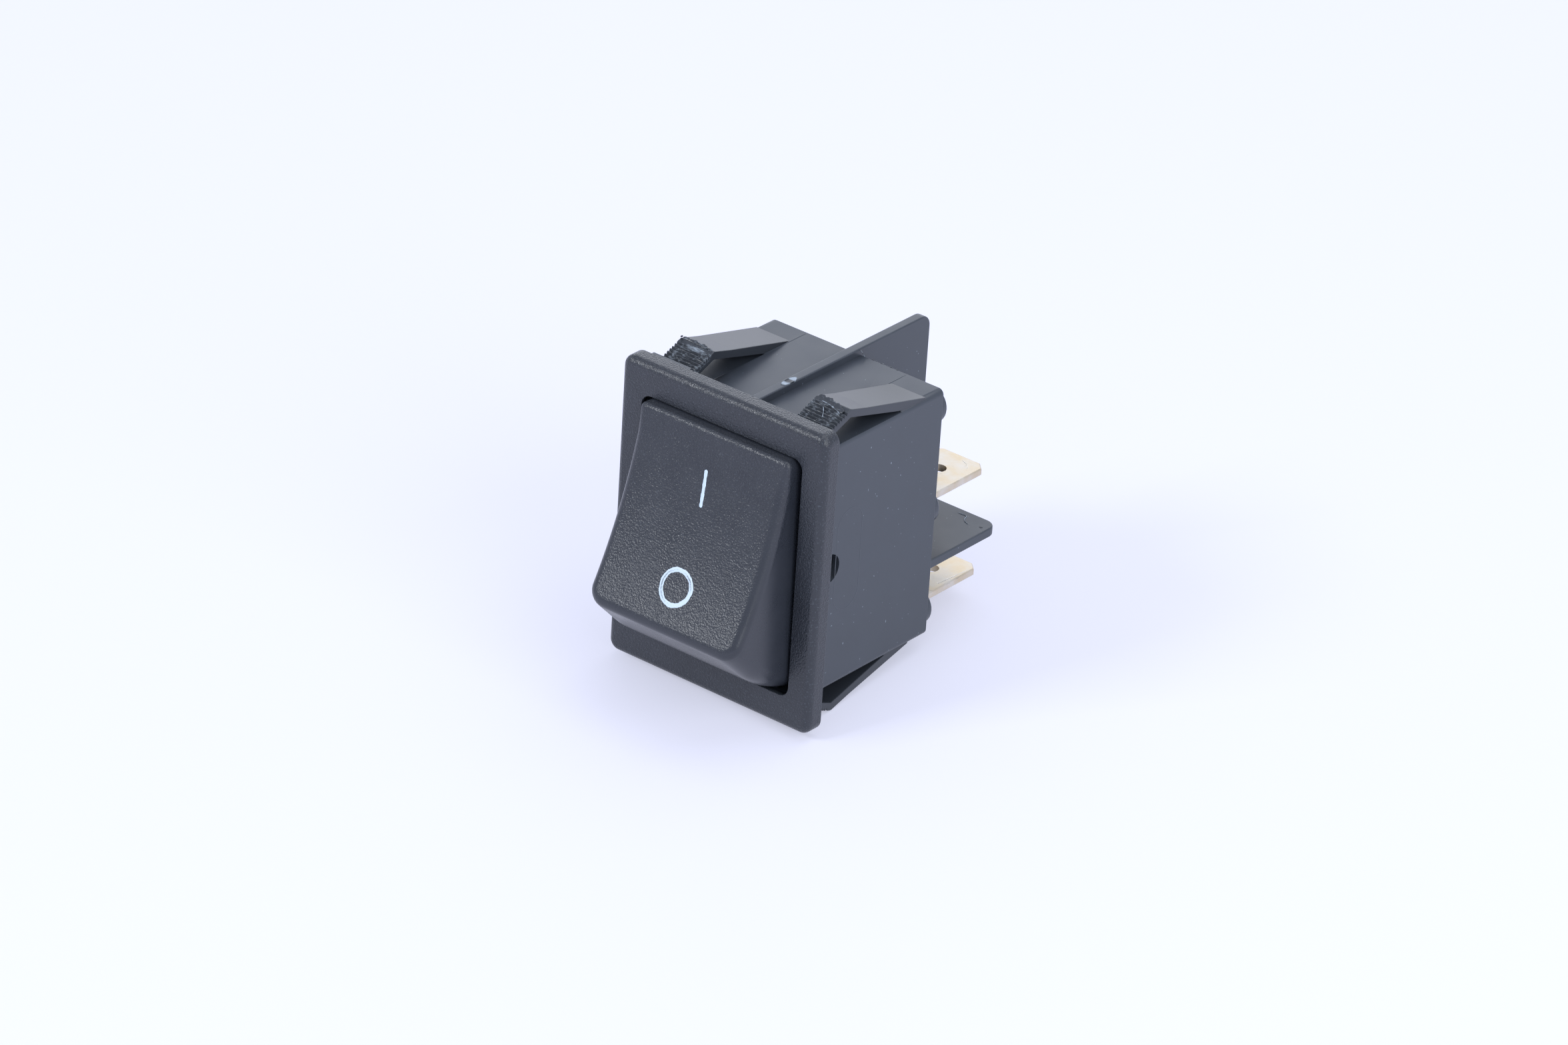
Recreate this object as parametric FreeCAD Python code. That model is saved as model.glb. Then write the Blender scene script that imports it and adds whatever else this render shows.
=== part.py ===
"""Two-pole panel rocker switch with push-on tabs, built as separate moulded, pressed and wound pieces.

Millimetres. X runs across the switch, Y from the panel towards the back, Z up.
The origin is the centre of the rear plane of the bezel, the plane that seats on the panel.
The switch is at rest with its upper end pressed, so both poles are closed.
"""
import FreeCAD
import Part
import math
import os

Vec = FreeCAD.Vector

# Bezel
bezel_width = 25.6
bezel_height = 32.7
bezel_thickness = 2.1
bezel_corner_radius = 1.2
bezel_edge_round = 0.8
opening_corner_radius = 1.1
opening_chamfer = 0.15

# Body behind the panel
body_width = 21.8
body_height = 27.3
body_depth = 18.7
body_edge_radius = 0.5
side_wall = 0.85
end_wall = 0.7
rear_wall = 1.8
thick_end_wall = 1.5
thick_wall_start = 9.2
partition_thickness = 1.0
partition_front = 10.0

# Keying ribs and barriers between the tabs
rib_thickness = 1.1
rib_height = 0.8
barrier_length = 10.9
barrier_corner_radius = 1.3
cross_barrier_thickness = 1.0
cross_barrier_height = -5.85
cross_barrier_inset = 0.12

# Snap wings
wing_width = 4.3
wing_side_inset = 0.2
wing_root = 16.0
wing_knee = 6.9
wing_peak = 4.2
wing_tip = 0.75
wing_knee_height = 2.2
wing_peak_height = 2.95
wing_tip_height = 1.65
wing_thickness = 0.9
wing_slot_end = 12.2
wing_ridge_count = 8
wing_ridge_depth = 0.16
wing_ridge_rise = 0.25
wing_ridge_floor = 0.7
wing_relief_depth = 0.4
wing_relief_height = 2.55
wing_relief_margin = 0.25

# Rocker
pivot_depth = 2.1
pivot_pin_radius = 1.5
pivot_clearance = 0.07
pivot_pin_inset = 0.15
pin_chamfer = 0.3
rocker_half_travel = 20.5
rocker_front_length = 20.3
rocker_front_reach = 9.5
rocker_front_hollow = 1.0
rocker_end_clearance = 0.12
rocker_skirt = 2.0
rocker_side_clearance = 0.22
rocker_side_draft = 0.5
rocker_edge_break = 0.5
rocker_wall = 1.3
rocker_rib = 0.9
rocker_rib_reach = 1.2

# Stems, plungers and springs
stem_radius = 2.15
stem_length = 6.0
plunger_radius = 1.4
plunger_clearance = 0.08
plunger_nose_radius = 0.9
plunger_head = 4.9
spigot_radius = 0.75
spigot_length = 2.2
spring_wire_radius = 0.17
spring_mean_radius = 1.12
spring_turns = 5.5
spring_steps = 12
spring_sides = 6
spring_end_gap = 0.05
socket_floor = 2.6

# Terminals
pole_spacing = 11.2
row_pitch = 11.3
tab_width = 6.3
tab_thickness = 0.8
tab_reach = 29.7
tab_corner = 0.85
tab_edge_bevel = 0.12
tab_hole_radius = 0.85
tab_hole_from_end = 3.85
shoulder_width = 7.4
shoulder_depth = 1.2
slot_clearance = 0.03
collar_height = 4.0
collar_reach = 1.0
collar_side_gap = 0.1
collar_chamfer = 0.3

# Rocking contacts
fulcrum_depth = 12.4
fork_prong = 1.1
fork_reach = 2.1
lever_width = 4.8
lever_thickness = 0.5
lever_tilt = 7.0
lever_arm_closed = 10.0
lever_arm_free = 8.0
lever_bend_angle = 41.0
lever_seat_gap = 0.02
waist_clearance = 0.15
waist_height = 1.3
tip_gap = 0.04
contact_arm = 8.4
contact_radius = 1.5
contact_height = 0.6
contact_dome_radius = 5.0
contact_gap = 0.02
shank_radius = 0.8
shank_clearance = 0.02
shank_head_radius = 1.15
shank_head_height = 0.25
seat_leg_width = 5.2
seat_leg_top = 2.0
bend_radius = 0.4
post_clearance = 0.05
post_bend_gap = 0.3
stop_height = 1.6
stop_arm = 6.4

# Helping lengths: how far fused pieces sink into each other, how far a cut runs clear,
# and how far apart two places may be and still count as the same
sink = 0.5
clear = 1.0
tolerance = 1e-4

# Places worked out from the sizes above
body_half_width = body_width / 2
body_half_height = body_height / 2
cavity_half_width = body_half_width - side_wall
rocker_half_width = cavity_half_width - rocker_side_clearance
opening_half_height = body_half_height - end_wall
rocker_end_radius = opening_half_height - rocker_end_clearance
inner_half_height = body_half_height - thick_end_wall
cavity_rear = body_depth - rear_wall
collar_rear = body_depth + collar_reach
barrier_rear = body_depth + barrier_length
pole_offset = pole_spacing / 2
pole_places = {"left": -pole_offset, "right": pole_offset}
wing_outer = body_half_width - wing_side_inset
wing_inner = wing_outer - wing_width
pivot = Vec(0, pivot_depth, 0)
fulcrum = Vec(0, fulcrum_depth, 0)
nose_radius = tab_thickness / 2
lever_back = nose_radius + lever_seat_gap
lever_face = lever_back + lever_thickness
fulcrum_reach = fulcrum_depth - pivot_depth
plunger_reach = fulcrum_reach - lever_face - tip_gap - plunger_nose_radius
X_AXIS = Vec(1, 0, 0)
Y_AXIS = Vec(0, 1, 0)
Z_AXIS = Vec(0, 0, 1)


def box(x_low, x_high, y_low, y_high, z_low, z_high):
    """A block between two limits on each axis."""
    corner = Vec(x_low, y_low, z_low)
    return Part.makeBox(x_high - x_low, y_high - y_low, z_high - z_low, corner)


def rod(radius, length, start, direction):
    """A round bar from a starting point along a direction."""
    return Part.makeCylinder(radius, length, start, direction)


def side_point(depth, height):
    """A point of a side profile, in the plane X = 0."""
    return Vec(0, depth, height)


def polygon_face(points):
    """A flat face inside a closed run of straight lines."""
    return Part.Face(Part.makePolygon(points + points[:1]))


def across(face, x_low, x_high):
    """Extrude a side profile across the switch."""
    solid = face.extrude(Vec(x_high - x_low, 0, 0))
    solid.translate(Vec(x_low, 0, 0))
    return solid


def line(start, end):
    return Part.makeLine(start, end)


def arc(start, middle, end):
    return Part.Arc(start, middle, end).toShape()


def edges_along(shape, axis, keep=lambda centre: True):
    """Straight edges parallel to an axis whose centre passes a test."""
    found = []
    for edge in shape.Edges:
        if not isinstance(edge.Curve, Part.Line):
            continue
        direction = edge.tangentAt(edge.FirstParameter)
        if abs(direction.dot(axis)) > 1 - tolerance and keep(edge.CenterOfMass):
            found.append(edge)
    return found


def edges_on_plane(shape, depth):
    """Every edge that lies in the plane Y = depth."""
    return [edge for edge in shape.Edges
            if abs(edge.BoundBox.YMin - depth) < tolerance and abs(edge.BoundBox.YMax - depth) < tolerance]


def rounded_block(width, height, y_low, y_high, corner_radius):
    """A block centred on the Y axis with its four long edges rounded."""
    block = box(-width / 2, width / 2, y_low, y_high, -height / 2, height / 2)
    return block.makeFillet(corner_radius, edges_along(block, Y_AXIS))


def mirrored(shape, normal):
    """A copy on the other side of a plane through the origin."""
    return shape.mirror(Vec(0, 0, 0), normal)


# Housing


def bezel():
    """The frame that covers the edge of the panel cut-out, rounded on its front."""
    plate = rounded_block(bezel_width, bezel_height, -bezel_thickness, 0, bezel_corner_radius)
    return plate.makeFillet(bezel_edge_round, edges_on_plane(plate, -bezel_thickness))


def front_opening():
    """The well behind the bezel that the rocker swings in, with a chamfer round its mouth."""
    width = 2 * cavity_half_width
    height = 2 * opening_half_height
    rim = opening_chamfer - bezel_thickness
    well = rounded_block(width, height, -bezel_thickness - clear, thick_wall_start, opening_corner_radius)
    mouth = rounded_block(width + 2 * opening_chamfer, height + 2 * opening_chamfer,
                          -bezel_thickness - clear, rim, opening_corner_radius + opening_chamfer)
    return well.fuse(mouth.makeChamfer(opening_chamfer, edges_on_plane(mouth, rim)))


def contact_chamber():
    """The deeper part of the well, in two halves with the partition left between them."""
    front = thick_wall_start - sink
    half = box(partition_thickness / 2, cavity_half_width, front, cavity_rear,
               -inner_half_height, inner_half_height)
    ahead = box(-partition_thickness, partition_thickness, front, partition_front,
                -inner_half_height, inner_half_height)
    return half.fuse([mirrored(half, X_AXIS), ahead])


def keying_rib():
    """The rib along the top and bottom that runs on into the upright barrier."""
    top = body_half_height + rib_height
    return box(-rib_thickness / 2, rib_thickness / 2, 0, body_depth, -top, top)


def upright_barrier():
    """The insulating wall between the two columns of tabs."""
    top = body_half_height + rib_height
    wall = box(-rib_thickness / 2, rib_thickness / 2, body_depth - sink, barrier_rear, -top, top)
    corners = edges_along(wall, X_AXIS, lambda centre: centre.y > body_depth)
    return wall.makeFillet(barrier_corner_radius, corners)


def cross_barrier():
    """The insulating wall between the two rows of tabs."""
    half_width = body_half_width - cross_barrier_inset
    middle = cross_barrier_height
    wall = box(-half_width, half_width, body_depth - sink, barrier_rear,
               middle - cross_barrier_thickness / 2, middle + cross_barrier_thickness / 2)
    corners = edges_along(wall, Z_AXIS, lambda centre: centre.y > body_depth)
    return wall.makeFillet(barrier_corner_radius, corners)


def terminal_collar(column, row):
    """A raised pad with round ends around one terminal place on the rear face."""
    radius = collar_height / 2
    outer = body_half_width - collar_side_gap - radius
    inner = 2 * abs(column) - outer
    side = math.copysign(1, column)
    start = side * min(inner, outer)
    end = side * max(inner, outer)
    base = body_depth - sink
    length = collar_reach + sink
    pad = box(min(start, end), max(start, end), base, base + length, row - radius, row + radius)
    for centre in (start, end):
        pad = pad.fuse(rod(radius, length, Vec(centre, base, row), Y_AXIS))
    pad = pad.removeSplitter()
    return pad.makeChamfer(collar_chamfer, edges_on_plane(pad, base + length))


def terminal_slot(column, row):
    """The slot that a tab passes through on its way out."""
    half_width = tab_width / 2 + slot_clearance
    half_height = tab_thickness / 2 + slot_clearance
    return box(column - half_width, column + half_width, cavity_rear - clear, collar_rear + clear,
               row - half_height, row + half_height)


def wing_profile():
    """Side profile of a snap wing: a ramp, a flatter land and a ridged slope back to the bezel."""
    base = body_half_height
    root = side_point(wing_root, base)
    knee = side_point(wing_knee, base + wing_knee_height)
    peak = side_point(wing_peak, base + wing_peak_height)
    tip = side_point(wing_tip, base + wing_tip_height)
    slope = (tip - peak).normalize()
    inward = Vec(0, -slope.z, slope.y)
    tip_inside = tip + inward * wing_thickness
    peak_inside = side_point(wing_peak, peak.z - wing_thickness)
    slot_end = side_point(wing_slot_end, base)
    sunk = side_point(wing_slot_end, base - end_wall / 2)
    root_sunk = side_point(wing_root, base - end_wall / 2)
    return polygon_face([root, knee, peak, tip, tip_inside, peak_inside, slot_end, sunk, root_sunk])


def wing_ridges():
    """Shallow grooves across the slope that bites on the edge of the panel."""
    base = body_half_height
    peak = side_point(wing_peak, base + wing_peak_height)
    tip = side_point(wing_tip, base + wing_tip_height)
    step = (tip - peak) * (1 / wing_ridge_count)
    outward = Vec(0, step.z, -step.y).normalize() * wing_ridge_depth
    grooves = []
    for index in range(wing_ridge_count):
        crest = peak + step * index
        start = crest + step * wing_ridge_rise + outward / 2
        floor = crest + step * wing_ridge_floor - outward
        notch = polygon_face([start, crest + step + outward / 2, floor])
        grooves.append(across(notch, wing_inner - clear, wing_outer + clear))
    return grooves


def snap_wing():
    """One springy wing at the upper right corner of the body."""
    wing = across(wing_profile(), wing_inner, wing_outer)
    return wing.cut(wing_ridges())


def wing_relief():
    """The shallow pocket in the rear of the bezel that the tip of a wing flexes over."""
    return box(wing_inner - wing_relief_margin, wing_outer + wing_relief_margin, -wing_relief_depth, clear,
               body_half_height, body_half_height + wing_relief_height)


def four_corners(shape):
    """The same feature at all four corners of the body."""
    upper = [shape, mirrored(shape, X_AXIS)]
    return upper + [mirrored(one, Z_AXIS) for one in upper]


def pivot_holes():
    """The holes through both side walls that the rocker's pins snap into."""
    start = Vec(-body_half_width - clear, pivot_depth, 0)
    return rod(pivot_pin_radius + pivot_clearance, body_width + 2 * clear, start, X_AXIS)


def contact_post(column):
    """The block that backs a fixed contact's leg."""
    front = seat_back() + post_clearance
    half = seat_leg_width / 2
    return box(column - half, column + half, front, cavity_rear + sink,
               -row_pitch + tab_thickness / 2 + bend_radius + post_bend_gap, -contact_arm + seat_leg_top)


def free_end_stop(column):
    """The post that the idle arm of a rocking contact lies on when the switch is off."""
    swing = math.radians(lever_tilt)
    arm_back = lever_back + land_rise()
    outer = stop_arm + stop_height / 2
    front = fulcrum_depth - arm_back * math.cos(swing) + outer * math.sin(swing) + post_clearance
    half = lever_width / 2
    return box(column - half, column + half, front, cavity_rear + sink, stop_arm - stop_height / 2, outer)


def housing():
    """The one-piece moulding: bezel, body, barriers, collars and snap wings."""
    body = rounded_block(body_width, body_height, -sink, body_depth, body_edge_radius)
    columns = list(pole_places.values())
    collars = [terminal_collar(column, row) for column in columns for row in (-row_pitch, 0, row_pitch)]
    slots = [terminal_slot(column, row) for column in columns for row in (-row_pitch, 0)]
    posts = [make(column) for column in columns for make in (contact_post, free_end_stop)]
    shell = bezel().fuse([body, keying_rib(), upright_barrier(), cross_barrier()] + collars)
    shell = shell.cut([front_opening(), contact_chamber(), pivot_holes()] + slots)
    shell = shell.cut(four_corners(wing_relief()))
    return shell.fuse(posts + four_corners(snap_wing())).removeSplitter()


# Rocker


def rocker_end_edges(skirt, side):
    """One end face, from the front corner to the foot.

    Behind, it follows the swing about the pivot. In front, it is straight, and that stretch stands
    square to the panel when its end is pressed.
    """
    swing = math.radians(rocker_half_travel)
    corner = side_point(-rocker_front_reach, side * rocker_front_length / 2)
    shoulder_point = side_point(-rocker_end_radius * math.sin(swing), side * rocker_end_radius * math.cos(swing))
    crown = side_point(0, side * rocker_end_radius)
    foot = side_point(skirt, side * math.sqrt(rocker_end_radius ** 2 - skirt ** 2))
    return corner, foot, [line(corner, shoulder_point), arc(shoulder_point, crown, foot)]


def rocker_profile(skirt):
    """Side profile about the pivot: hollowed front, curved ends and an open foot."""
    top_corner, top_foot, top_edges = rocker_end_edges(skirt, 1)
    low_corner, low_foot, low_edges = rocker_end_edges(skirt, -1)
    hollow = side_point(rocker_front_hollow - rocker_front_reach, 0)
    front = arc(low_corner, hollow, top_corner)
    return Part.Face(Part.Wire(Part.sortEdges([front, line(top_foot, low_foot)] + top_edges + low_edges)[0]))


def drafted_sides(half_width, back):
    """A tall block of one width at the rocker's foot whose sides close in towards the front."""
    slope = rocker_side_draft / (rocker_front_reach + rocker_skirt)
    front = -rocker_front_reach - clear
    front_half = half_width + slope * (front - rocker_skirt)
    back_half = half_width + slope * (back - rocker_skirt)
    plan = polygon_face([Vec(-back_half, back, -body_height), Vec(back_half, back, -body_height),
                         Vec(front_half, front, -body_height), Vec(-front_half, front, -body_height)])
    return plan.extrude(Vec(0, 0, 2 * body_height))


def rocker_block():
    """The outside form of the rocker with its show edges broken."""
    wide = across(rocker_profile(rocker_skirt), -body_half_width, body_half_width)
    block = wide.common(drafted_sides(rocker_half_width, rocker_skirt))
    show_edges = [edge for edge in block.Edges if edge.BoundBox.YMin < rocker_skirt - sink]
    return block.makeChamfer(rocker_edge_break, show_edges)


def rocker_hollow():
    """The space inside the rocker, open at its foot."""
    back = rocker_skirt + 2 * rocker_wall
    inner = rocker_profile(back).makeOffset2D(-rocker_wall)
    wide = across(inner, -body_half_width, body_half_width)
    return wide.common(drafted_sides(rocker_half_width - rocker_wall, back))


def rocker_ribs():
    """Stiffening ribs: one along each stem's plane and one across both stems."""
    front = -rocker_front_reach
    half = rocker_rib / 2
    lengthwise = [box(place - half, place + half, front, -rocker_rib_reach, -body_half_height, body_half_height)
                  for place in pole_places.values()]
    crosswise = box(-rocker_half_width, rocker_half_width, front, -rocker_rib_reach, -half, half)
    return lengthwise + [crosswise]


def stem(place):
    """The tube behind the front wall that holds a spring and its plunger."""
    return rod(stem_radius, stem_length + rocker_front_reach, Vec(place, -rocker_front_reach, 0), Y_AXIS)


def stem_bore(place):
    """The blind bore of a stem, open towards the contacts."""
    floor = -socket_floor
    return rod(plunger_radius + plunger_clearance, stem_length - floor + clear, Vec(place, floor, 0), Y_AXIS)


def pivot_pin():
    """One pin of the pivot on the right side, chamfered to snap in."""
    start = rocker_half_width - rocker_wall / 2
    length = body_half_width - pivot_pin_inset - start
    pin = rod(pivot_pin_radius, length, Vec(start, 0, 0), X_AXIS)
    tip = [edge for edge in pin.Edges if edge.BoundBox.XMin > start + length / 2]
    return pin.makeChamfer(pin_chamfer, tip)


def rocker():
    """The moulded rocker, tilted so that its upper end is pressed."""
    outside = rocker_block()
    within = outside.fuse(box(-rocker_half_width, rocker_half_width, 0, stem_length, -stem_radius, stem_radius))
    ribs = [rib.common(outside) for rib in rocker_ribs()]
    stems = [stem(place).common(within) for place in pole_places.values()]
    pin = pivot_pin()
    shell = outside.cut(rocker_hollow()).fuse(ribs + stems + [pin, mirrored(pin, X_AXIS)])
    shell = shell.cut([stem_bore(place) for place in pole_places.values()])
    return tilted_with_rocker(shell)


def tilted_with_rocker(shape):
    """Turn a shape about the pivot from the middle position to the resting one."""
    shape.rotate(Vec(0, 0, 0), X_AXIS, -rocker_half_travel)
    shape.translate(pivot)
    return shape


# Plungers and springs


def plunger_shoulder():
    """Distance behind the pivot of the face that the spring presses on."""
    return plunger_reach - plunger_head


def plunger(place):
    """A moulded plunger: spigot for the spring, guided head and round nose."""
    shoulder = plunger_shoulder()
    spigot = rod(spigot_radius, spigot_length + sink, Vec(0, shoulder - spigot_length, 0), Y_AXIS)
    head = rod(plunger_radius, plunger_head, Vec(0, shoulder, 0), Y_AXIS)
    nose = Part.makeSphere(plunger_nose_radius, Vec(0, plunger_reach, 0))
    solid = head.fuse([spigot, nose]).removeSplitter()
    solid.translate(Vec(place, 0, 0))
    return tilted_with_rocker(solid)


def spring(place):
    """The coil between the floor of a stem and the shoulder of its plunger.

    The wire is drawn as short straight lengths, the same number to each turn, with mitred joints.
    """
    start = spring_wire_radius + spring_end_gap - socket_floor
    end = plunger_shoulder() - spring_wire_radius - spring_end_gap
    height = end - start
    helix = Part.makeHelix(height / spring_turns, height, spring_mean_radius)
    path = Part.makePolygon(helix.discretize(round(spring_turns * spring_steps) + 1))
    corners = []
    for index in range(spring_sides + 1):
        angle = 2 * math.pi * index / spring_sides
        corners.append(Vec(spring_mean_radius + spring_wire_radius * math.cos(angle), 0,
                           spring_wire_radius * math.sin(angle)))
    coil = path.makePipeShell([Part.makePolygon(corners)], True, False, 1)
    coil.rotate(Vec(0, 0, 0), X_AXIS, -90)
    coil.translate(Vec(place, start, 0))
    return tilted_with_rocker(coil)


# Rocking contacts


def nose_path_radius():
    """Radius of the path of the plunger's nose, seen from the rocking contact.

    The rocker and the contact turn opposite ways in a fixed ratio, so the nose moves over the contact
    on a curve that is nearly a circle through its middle and end places.
    """
    swing = math.radians(rocker_half_travel)
    tilt = math.radians(lever_tilt)
    forward = fulcrum_reach * math.cos(tilt) - plunger_reach * math.cos(swing + tilt)
    sideways = plunger_reach * math.sin(swing + tilt) - fulcrum_reach * math.sin(tilt)
    rise = forward - (fulcrum_reach - plunger_reach)
    return (sideways ** 2 + rise ** 2) / (2 * rise)


def cradle_radius():
    """Radius of the hollow side of the cradle that the nose runs in."""
    return nose_path_radius() + plunger_nose_radius + tip_gap


def land_rise():
    """How far the flat arms stand in front of the bottom of the cradle."""
    return (cradle_radius() + lever_thickness) * (1 - math.cos(math.radians(lever_bend_angle)))


def lever_strip():
    """The bent strip: a round cradle in the middle and a flat arm each way."""
    bend = math.radians(lever_bend_angle)
    inner = cradle_radius()
    outer = inner + lever_thickness
    centre_depth = fulcrum_depth - lever_back - outer
    ring = Part.makeCylinder(outer, lever_width, Vec(0, centre_depth, 0), X_AXIS)
    ring = ring.cut(Part.makeCylinder(inner, lever_width, Vec(0, centre_depth, 0), X_AXIS))
    reach = outer * math.sin(bend)
    wedge = box(0, lever_width, centre_depth + inner * math.cos(bend), fulcrum_depth, -reach, reach)
    cradle = ring.common(wedge)
    back = centre_depth + outer * math.cos(bend)
    start = inner * math.sin(bend)
    arms = [box(0, lever_width, back - lever_thickness, back, start, lever_arm_free),
            box(0, lever_width, back - lever_thickness, back, -lever_arm_closed, -start)]
    return cradle.fuse(arms).removeSplitter()


def waist_notches(place):
    """The notches on both sides of the strip that the prongs of the terminal fit in."""
    half_waist = tab_width / 2 - fork_prong - waist_clearance
    half_height = waist_height / 2
    notch = box(half_waist, lever_width, 0, fulcrum_depth + clear, -half_height, half_height)
    pair = notch.fuse(mirrored(notch, X_AXIS))
    pair.translate(Vec(place, 0, 0))
    return pair


def contact_place():
    """Depth of the back of the closed arm before the contact is tilted."""
    return fulcrum_depth - lever_back - land_rise()


def tilted_with_lever(shape):
    """Turn a shape about the fulcrum so that the lower arm is closed."""
    shape.rotate(fulcrum, X_AXIS, lever_tilt)
    return shape


def lever(place):
    """The pressed copper strip that rocks on the terminal's edge."""
    strip = lever_strip()
    strip.translate(Vec(place - lever_width / 2, 0, 0))
    front = contact_place() - lever_thickness - clear
    hole = rod(shank_radius + shank_clearance, lever_thickness + 2 * clear, Vec(place, front, -contact_arm), Y_AXIS)
    strip = strip.cut([waist_notches(place), hole])
    ends = edges_along(strip, Y_AXIS, lambda centre: not -contact_arm < centre.z < stop_arm)
    return tilted_with_lever(strip.makeFillet(lever_thickness, ends))


def domed_head(radius, height, dome_radius):
    """A contact head from the origin towards +Y with a spherical face."""
    block = rod(radius, height, Vec(0, 0, 0), Y_AXIS)
    ball = Part.makeSphere(dome_radius, Vec(0, height - dome_radius, 0))
    return block.common(ball)


def moving_contact(place):
    """The silver rivet on the closing arm, domed towards the fixed contact."""
    head = domed_head(contact_radius, contact_height, contact_dome_radius)
    shank = rod(shank_radius, lever_thickness + contact_height / 2, Vec(0, -lever_thickness, 0), Y_AXIS)
    upset = rod(shank_head_radius, shank_head_height, Vec(0, -lever_thickness - shank_head_height, 0), Y_AXIS)
    rivet = head.fuse([shank, upset]).removeSplitter()
    rivet.translate(Vec(place, contact_place(), -contact_arm))
    return tilted_with_lever(rivet)


def closed_face():
    """Depth of the fixed contact's flat face, which the tilted dome touches."""
    tilt = math.radians(lever_tilt)
    from_fulcrum = contact_place() + contact_height - contact_dome_radius - fulcrum_depth
    centre = fulcrum_depth + from_fulcrum * math.cos(tilt) + contact_arm * math.sin(tilt)
    return centre + contact_dome_radius + contact_gap


def seat_front():
    """Depth of the front of the leg that carries a fixed contact."""
    return closed_face() + contact_height


def seat_back():
    return seat_front() + tab_thickness


def fixed_contact(place):
    """The flat silver rivet on the leg of a contact terminal."""
    head = rod(contact_radius, contact_height, Vec(place, closed_face(), -contact_arm), Y_AXIS)
    shank = rod(shank_radius, contact_height / 2 + tab_thickness,
                Vec(place, seat_front() - contact_height / 2, -contact_arm), Y_AXIS)
    return head.fuse(shank).removeSplitter()


# Terminals


def tab(place, row, inner_end):
    """The flat blade of a terminal with cut corners, bevelled edges and its locking hole."""
    half = tab_width / 2
    points = [Vec(place - half, inner_end, row), Vec(place + half, inner_end, row),
              Vec(place + half, tab_reach - tab_corner, row), Vec(place + half - tab_corner, tab_reach, row),
              Vec(place - half + tab_corner, tab_reach, row), Vec(place - half, tab_reach - tab_corner, row)]
    blade = polygon_face(points).extrude(Vec(0, 0, tab_thickness))
    blade.translate(Vec(0, 0, -tab_thickness / 2))
    rim = [edge for edge in blade.Edges if edge.BoundBox.ZLength < tolerance and edge.BoundBox.YMax > collar_rear]
    blade = blade.makeChamfer(tab_edge_bevel, rim)
    hole = rod(tab_hole_radius, tab_thickness + 2 * clear,
               Vec(place, tab_reach - tab_hole_from_end, row - tab_thickness / 2 - clear), Z_AXIS)
    return blade.cut(hole)


def shoulder(place, row):
    """The wider step that stops a terminal against the inside of the rear wall."""
    half = shoulder_width / 2
    return box(place - half, place + half, cavity_rear - shoulder_depth, cavity_rear,
               row - tab_thickness / 2, row + tab_thickness / 2)


def common_terminal(place):
    """The middle terminal, whose forked round edge is the fulcrum of the rocking contact."""
    half = tab_width / 2
    middle = fulcrum_depth
    blade = tab(place, 0, middle).fuse(shoulder(place, 0))
    nose = rod(nose_radius, tab_width, Vec(place - half, middle, 0), X_AXIS)
    prong = box(half - fork_prong, half, middle - fork_reach, middle, -nose_radius, nose_radius)
    prongs = prong.fuse(mirrored(prong, X_AXIS))
    prongs.translate(Vec(place, 0, 0))
    return blade.fuse([nose, prongs]).removeSplitter()


def contact_terminal(place):
    """The lower terminal, bent up inside the body to carry the fixed contact."""
    row = -row_pitch
    half_thickness = tab_thickness / 2
    back = seat_back()
    front = seat_front()
    blade = tab(place, row, back + bend_radius).fuse(shoulder(place, row))
    bend_centre = Vec(place - seat_leg_width / 2, back + bend_radius, row + half_thickness + bend_radius)
    elbow = rod(bend_radius + tab_thickness, seat_leg_width, bend_centre, X_AXIS)
    elbow = elbow.cut(rod(bend_radius, seat_leg_width, bend_centre, X_AXIS))
    corner = box(place - seat_leg_width / 2, place + seat_leg_width / 2, front, back + bend_radius,
                 row - half_thickness, bend_centre.z)
    leg = box(place - seat_leg_width / 2, place + seat_leg_width / 2, front, back,
              bend_centre.z, -contact_arm + seat_leg_top)
    hole = rod(shank_radius + shank_clearance, tab_thickness + 2 * clear, Vec(place, front - clear, -contact_arm), Y_AXIS)
    return blade.fuse([elbow.common(corner), leg]).removeSplitter().cut(hole)


def make_parts():
    """Every node of the switch by name."""
    parts = {"housing": housing(), "rocker": rocker()}
    makers = {"common_terminal": common_terminal, "contact_terminal": contact_terminal,
              "fixed_contact": fixed_contact, "contact_lever": lever, "moving_contact": moving_contact,
              "plunger": plunger, "spring": spring}
    for side, place in pole_places.items():
        for name, make in makers.items():
            parts[f"{name}_{side}"] = make(place)
    return parts


def main():
    os.makedirs("parts", exist_ok=True)
    for name, shape in make_parts().items():
        solids = shape.Solids
        if len(solids) != 1 or not shape.isValid():
            raise RuntimeError(f"{name}: {len(solids)} solids, valid {shape.isValid()}")
        solids[0].exportStep(f"parts/{name}.step")
        print(name, round(shape.Volume, 2), "mm3")


main()
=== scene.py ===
"""Picture of a panel rocker switch, built over its frame of solids.

Sizes in the classes are millimetres in the frame of the solids: X runs across, Y from the panel to the
rear and Z up. The meshes are made in metres. Each moulded piece is a grid surface, written as a function
of the station along it and the place round it.
"""
import logging
import math
from dataclasses import dataclass, field
from enum import Enum

import bmesh
import bpy
import numpy as np
from mathutils import Matrix, Vector


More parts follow.
